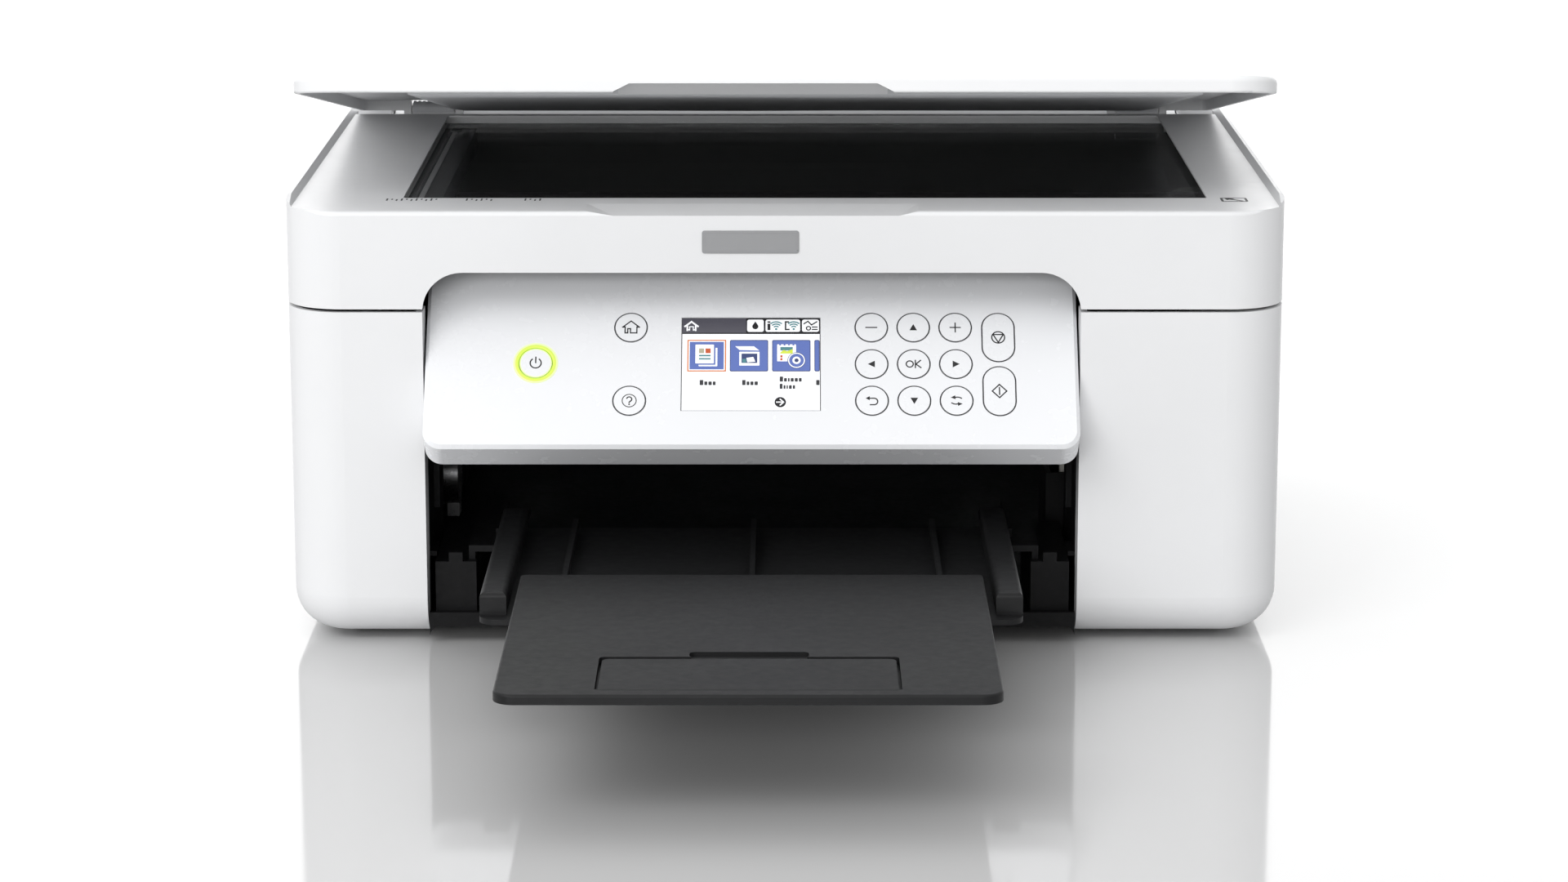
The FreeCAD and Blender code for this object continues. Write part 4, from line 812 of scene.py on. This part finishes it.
def lid_mat_piece(joints, mats):
    """Foam pad under its white film: a thin slab with soft edges and low lumps, leaning with the lid."""
    pivot = joint_pivot(joints, "lid_open")
    shut, ajar = turned_about(pivot, LID_OPEN_AT_REST), turned_about(pivot, -LID_OPEN_AT_REST)
    flat = [shut(v.co) for v in bpy.data.objects["lid_mat"].data.vertices]
    x0, x1 = min(v.x for v in flat) + 0.2 * MM, max(v.x for v in flat) - 0.2 * MM
    y0, y1 = min(v.y for v in flat) + 0.2 * MM, max(v.y for v in flat) - 0.2 * MM
    z0, z1 = min(v.z for v in flat) + 0.15 * MM, max(v.z for v in flat) - 0.05 * MM
    nx, ny = 48, 34
    edge_round, edge_fall, lump_fade, lump_width, lump_limit = 1.6 * MM, 0.9 * MM, 6 * MM, 0.022, 0.18
    rnd = random.Random(7)
    lumps = [(rnd.uniform(x0, x1), rnd.uniform(y0, y1), rnd.uniform(0.05, 0.16), rnd.choice((-1, 1)))
             for _ in range(26)]

    def lump_height(x, y):
        height = sum(sign * size * math.exp(-((x - lx) ** 2 + (y - ly) ** 2) / (2 * lump_width ** 2))
                     for lx, ly, size, sign in lumps)
        return max(-lump_limit, min(lump_limit, height)) * MM

    verts = []
    for layer in (0, 1):
        for j in range(ny + 1):
            for i in range(nx + 1):
                u, v = i / nx, j / ny
                x, y = x0 + (x1 - x0) * u, y0 + (y1 - y0) * v
                edge = min(x - x0, x1 - x, y - y0, y1 - y)
                fall = edge_fall * max(0.0, 1 - edge / edge_round) ** 2
                soft = lump_height(x, y) * min(1.0, edge / lump_fade)
                inset = 0.25 * MM if layer == 0 and edge <= 0.5 * MM else 0.0
                z = z0 + fall + 0.2 * MM + soft if layer == 0 else z1
                verts.append(ajar(Vector((x + (inset if u < 0.5 else -inset),
                                          y + (inset if v < 0.5 else -inset), z))))
    pad = piece("document_mat", verts, slab_faces(nx, ny), "lid", mats["mat_white"])
    for polygon in pad.data.polygons:
        polygon.use_smooth = len(polygon.vertices) == 4 and polygon.index < 2 * nx * ny
    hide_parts("lid_mat")


# ---------------------------------------------------------------- camera, floor and light
def camera():
    data = bpy.data.cameras.new("view")
    data.sensor_width = 36.0
    data.lens = CAMERA_LENS
    data.shift_x = CAMERA_SHIFT
    data.clip_start, data.clip_end = 0.05, 60
    obj = bpy.data.objects.new("view", data)
    obj.location = CAMERA_PLACE
    obj.rotation_euler = (math.pi / 2 - CAMERA_TILT, 0, 0)
    bpy.context.scene.collection.objects.link(obj)
    bpy.context.scene.camera = obj


def stage_material():
    mat, tree, shader, coords = node_material("studio_floor")
    slow = spread(tree, noise(tree, coords, 1.2), 0, 1)
    shade = tinted(tree, slow, (0.55, 0.55, 0.552), (0.57, 0.57, 0.572))
    tree.links.new(shade, shader.inputs["Base Color"])
    tree.links.new(spread(tree, noise(tree, coords, 3.0), 0.06, 0.08), shader.inputs["Roughness"])
    shader.inputs["Specular IOR Level"].default_value = 0.8
    return mat


def floor():
    """A pale sheet that runs back along the floor and curves up behind."""
    front, bend_start, bend, height, half_width = -4.0, 3.4, 1.2, 5.0, 6.0
    profile = [(front, 0.0), (bend_start, 0.0)]
    for degrees in range(6, 91, 6):
        a = math.radians(degrees)
        profile.append((bend_start + bend * math.sin(a), bend - bend * math.cos(a)))
    profile.append((bend_start + bend, height))
    verts = [(x, y, z) for x in (-half_width, half_width) for y, z in profile]
    count = len(profile)
    faces = [(k, count + k, count + k + 1, k + 1) for k in range(count - 1)]
    mesh = bpy.data.meshes.new("studio_sheet")
    mesh.from_pydata(verts, [], faces)
    for polygon in mesh.polygons:
        polygon.use_smooth = True
    mesh.materials.append(stage_material())
    obj = bpy.data.objects.new("studio_sheet", mesh)
    bpy.context.scene.collection.objects.link(obj)


def area_light(name, location, target, size, power):
    data = bpy.data.lights.new(name, "AREA")
    data.shape = "RECTANGLE"
    data.size, data.size_y = size
    data.energy = power
    obj = bpy.data.objects.new(name, data)
    obj.location = location
    obj.rotation_euler = (Vector(target) - Vector(location)).to_track_quat("-Z", "Y").to_euler()
    bpy.context.scene.collection.objects.link(obj)


def lights():
    world = bpy.data.worlds.new("studio")
    bpy.context.scene.world = world
    world.use_nodes = True
    tree = world.node_tree
    background = tree.nodes["Background"]
    background.inputs["Strength"].default_value = WORLD_STRENGTH
    coords = add_node(tree, "ShaderNodeTexCoord")
    split = add_node(tree, "ShaderNodeSeparateXYZ")
    tree.links.new(coords.outputs["Generated"], split.inputs["Vector"])
    side = spread(tree, split.outputs["X"], 0, 1, (-1, 1))
    tree.links.new(tinted(tree, side, *WORLD_GREYS), background.inputs["Color"])
    area_light("key", (-1.5, -1.9, 2.0), (0, 0, 0.1), (1.6, 1.2), 25)
    area_light("front", (-0.7, -3.0, 0.85), (0, 0, 0.1), (2.0, 0.7), 29)
    area_light("top", (-0.3, 0.7, 2.2), (0, 0.1, 0), (2.2, 1.4), 12)
    area_light("backdrop", (0, 3.0, 0.75), (0, 0, 0.75), (4.4, 1.4), 32)


# ---------------------------------------------------------------- assembly
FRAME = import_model()
MATS = make_materials()
dress_nodes(FRAME["nodes"], MATS)
FACE = Face(FRAME["joints"])
print_keys(FACE, FRAME["nodes"], MATS)
power_glow(FACE, FRAME["nodes"], MATS)
screen(FACE, FRAME["nodes"], MATS)
badge(MATS)
deck_marks(MATS)
scanner_inside(MATS)
hinge_barrels(FRAME["joints"], MATS)
lid_mat_piece(FRAME["joints"], MATS)
camera()
floor()
lights()
bpy.context.scene.view_settings.view_transform = "Standard"
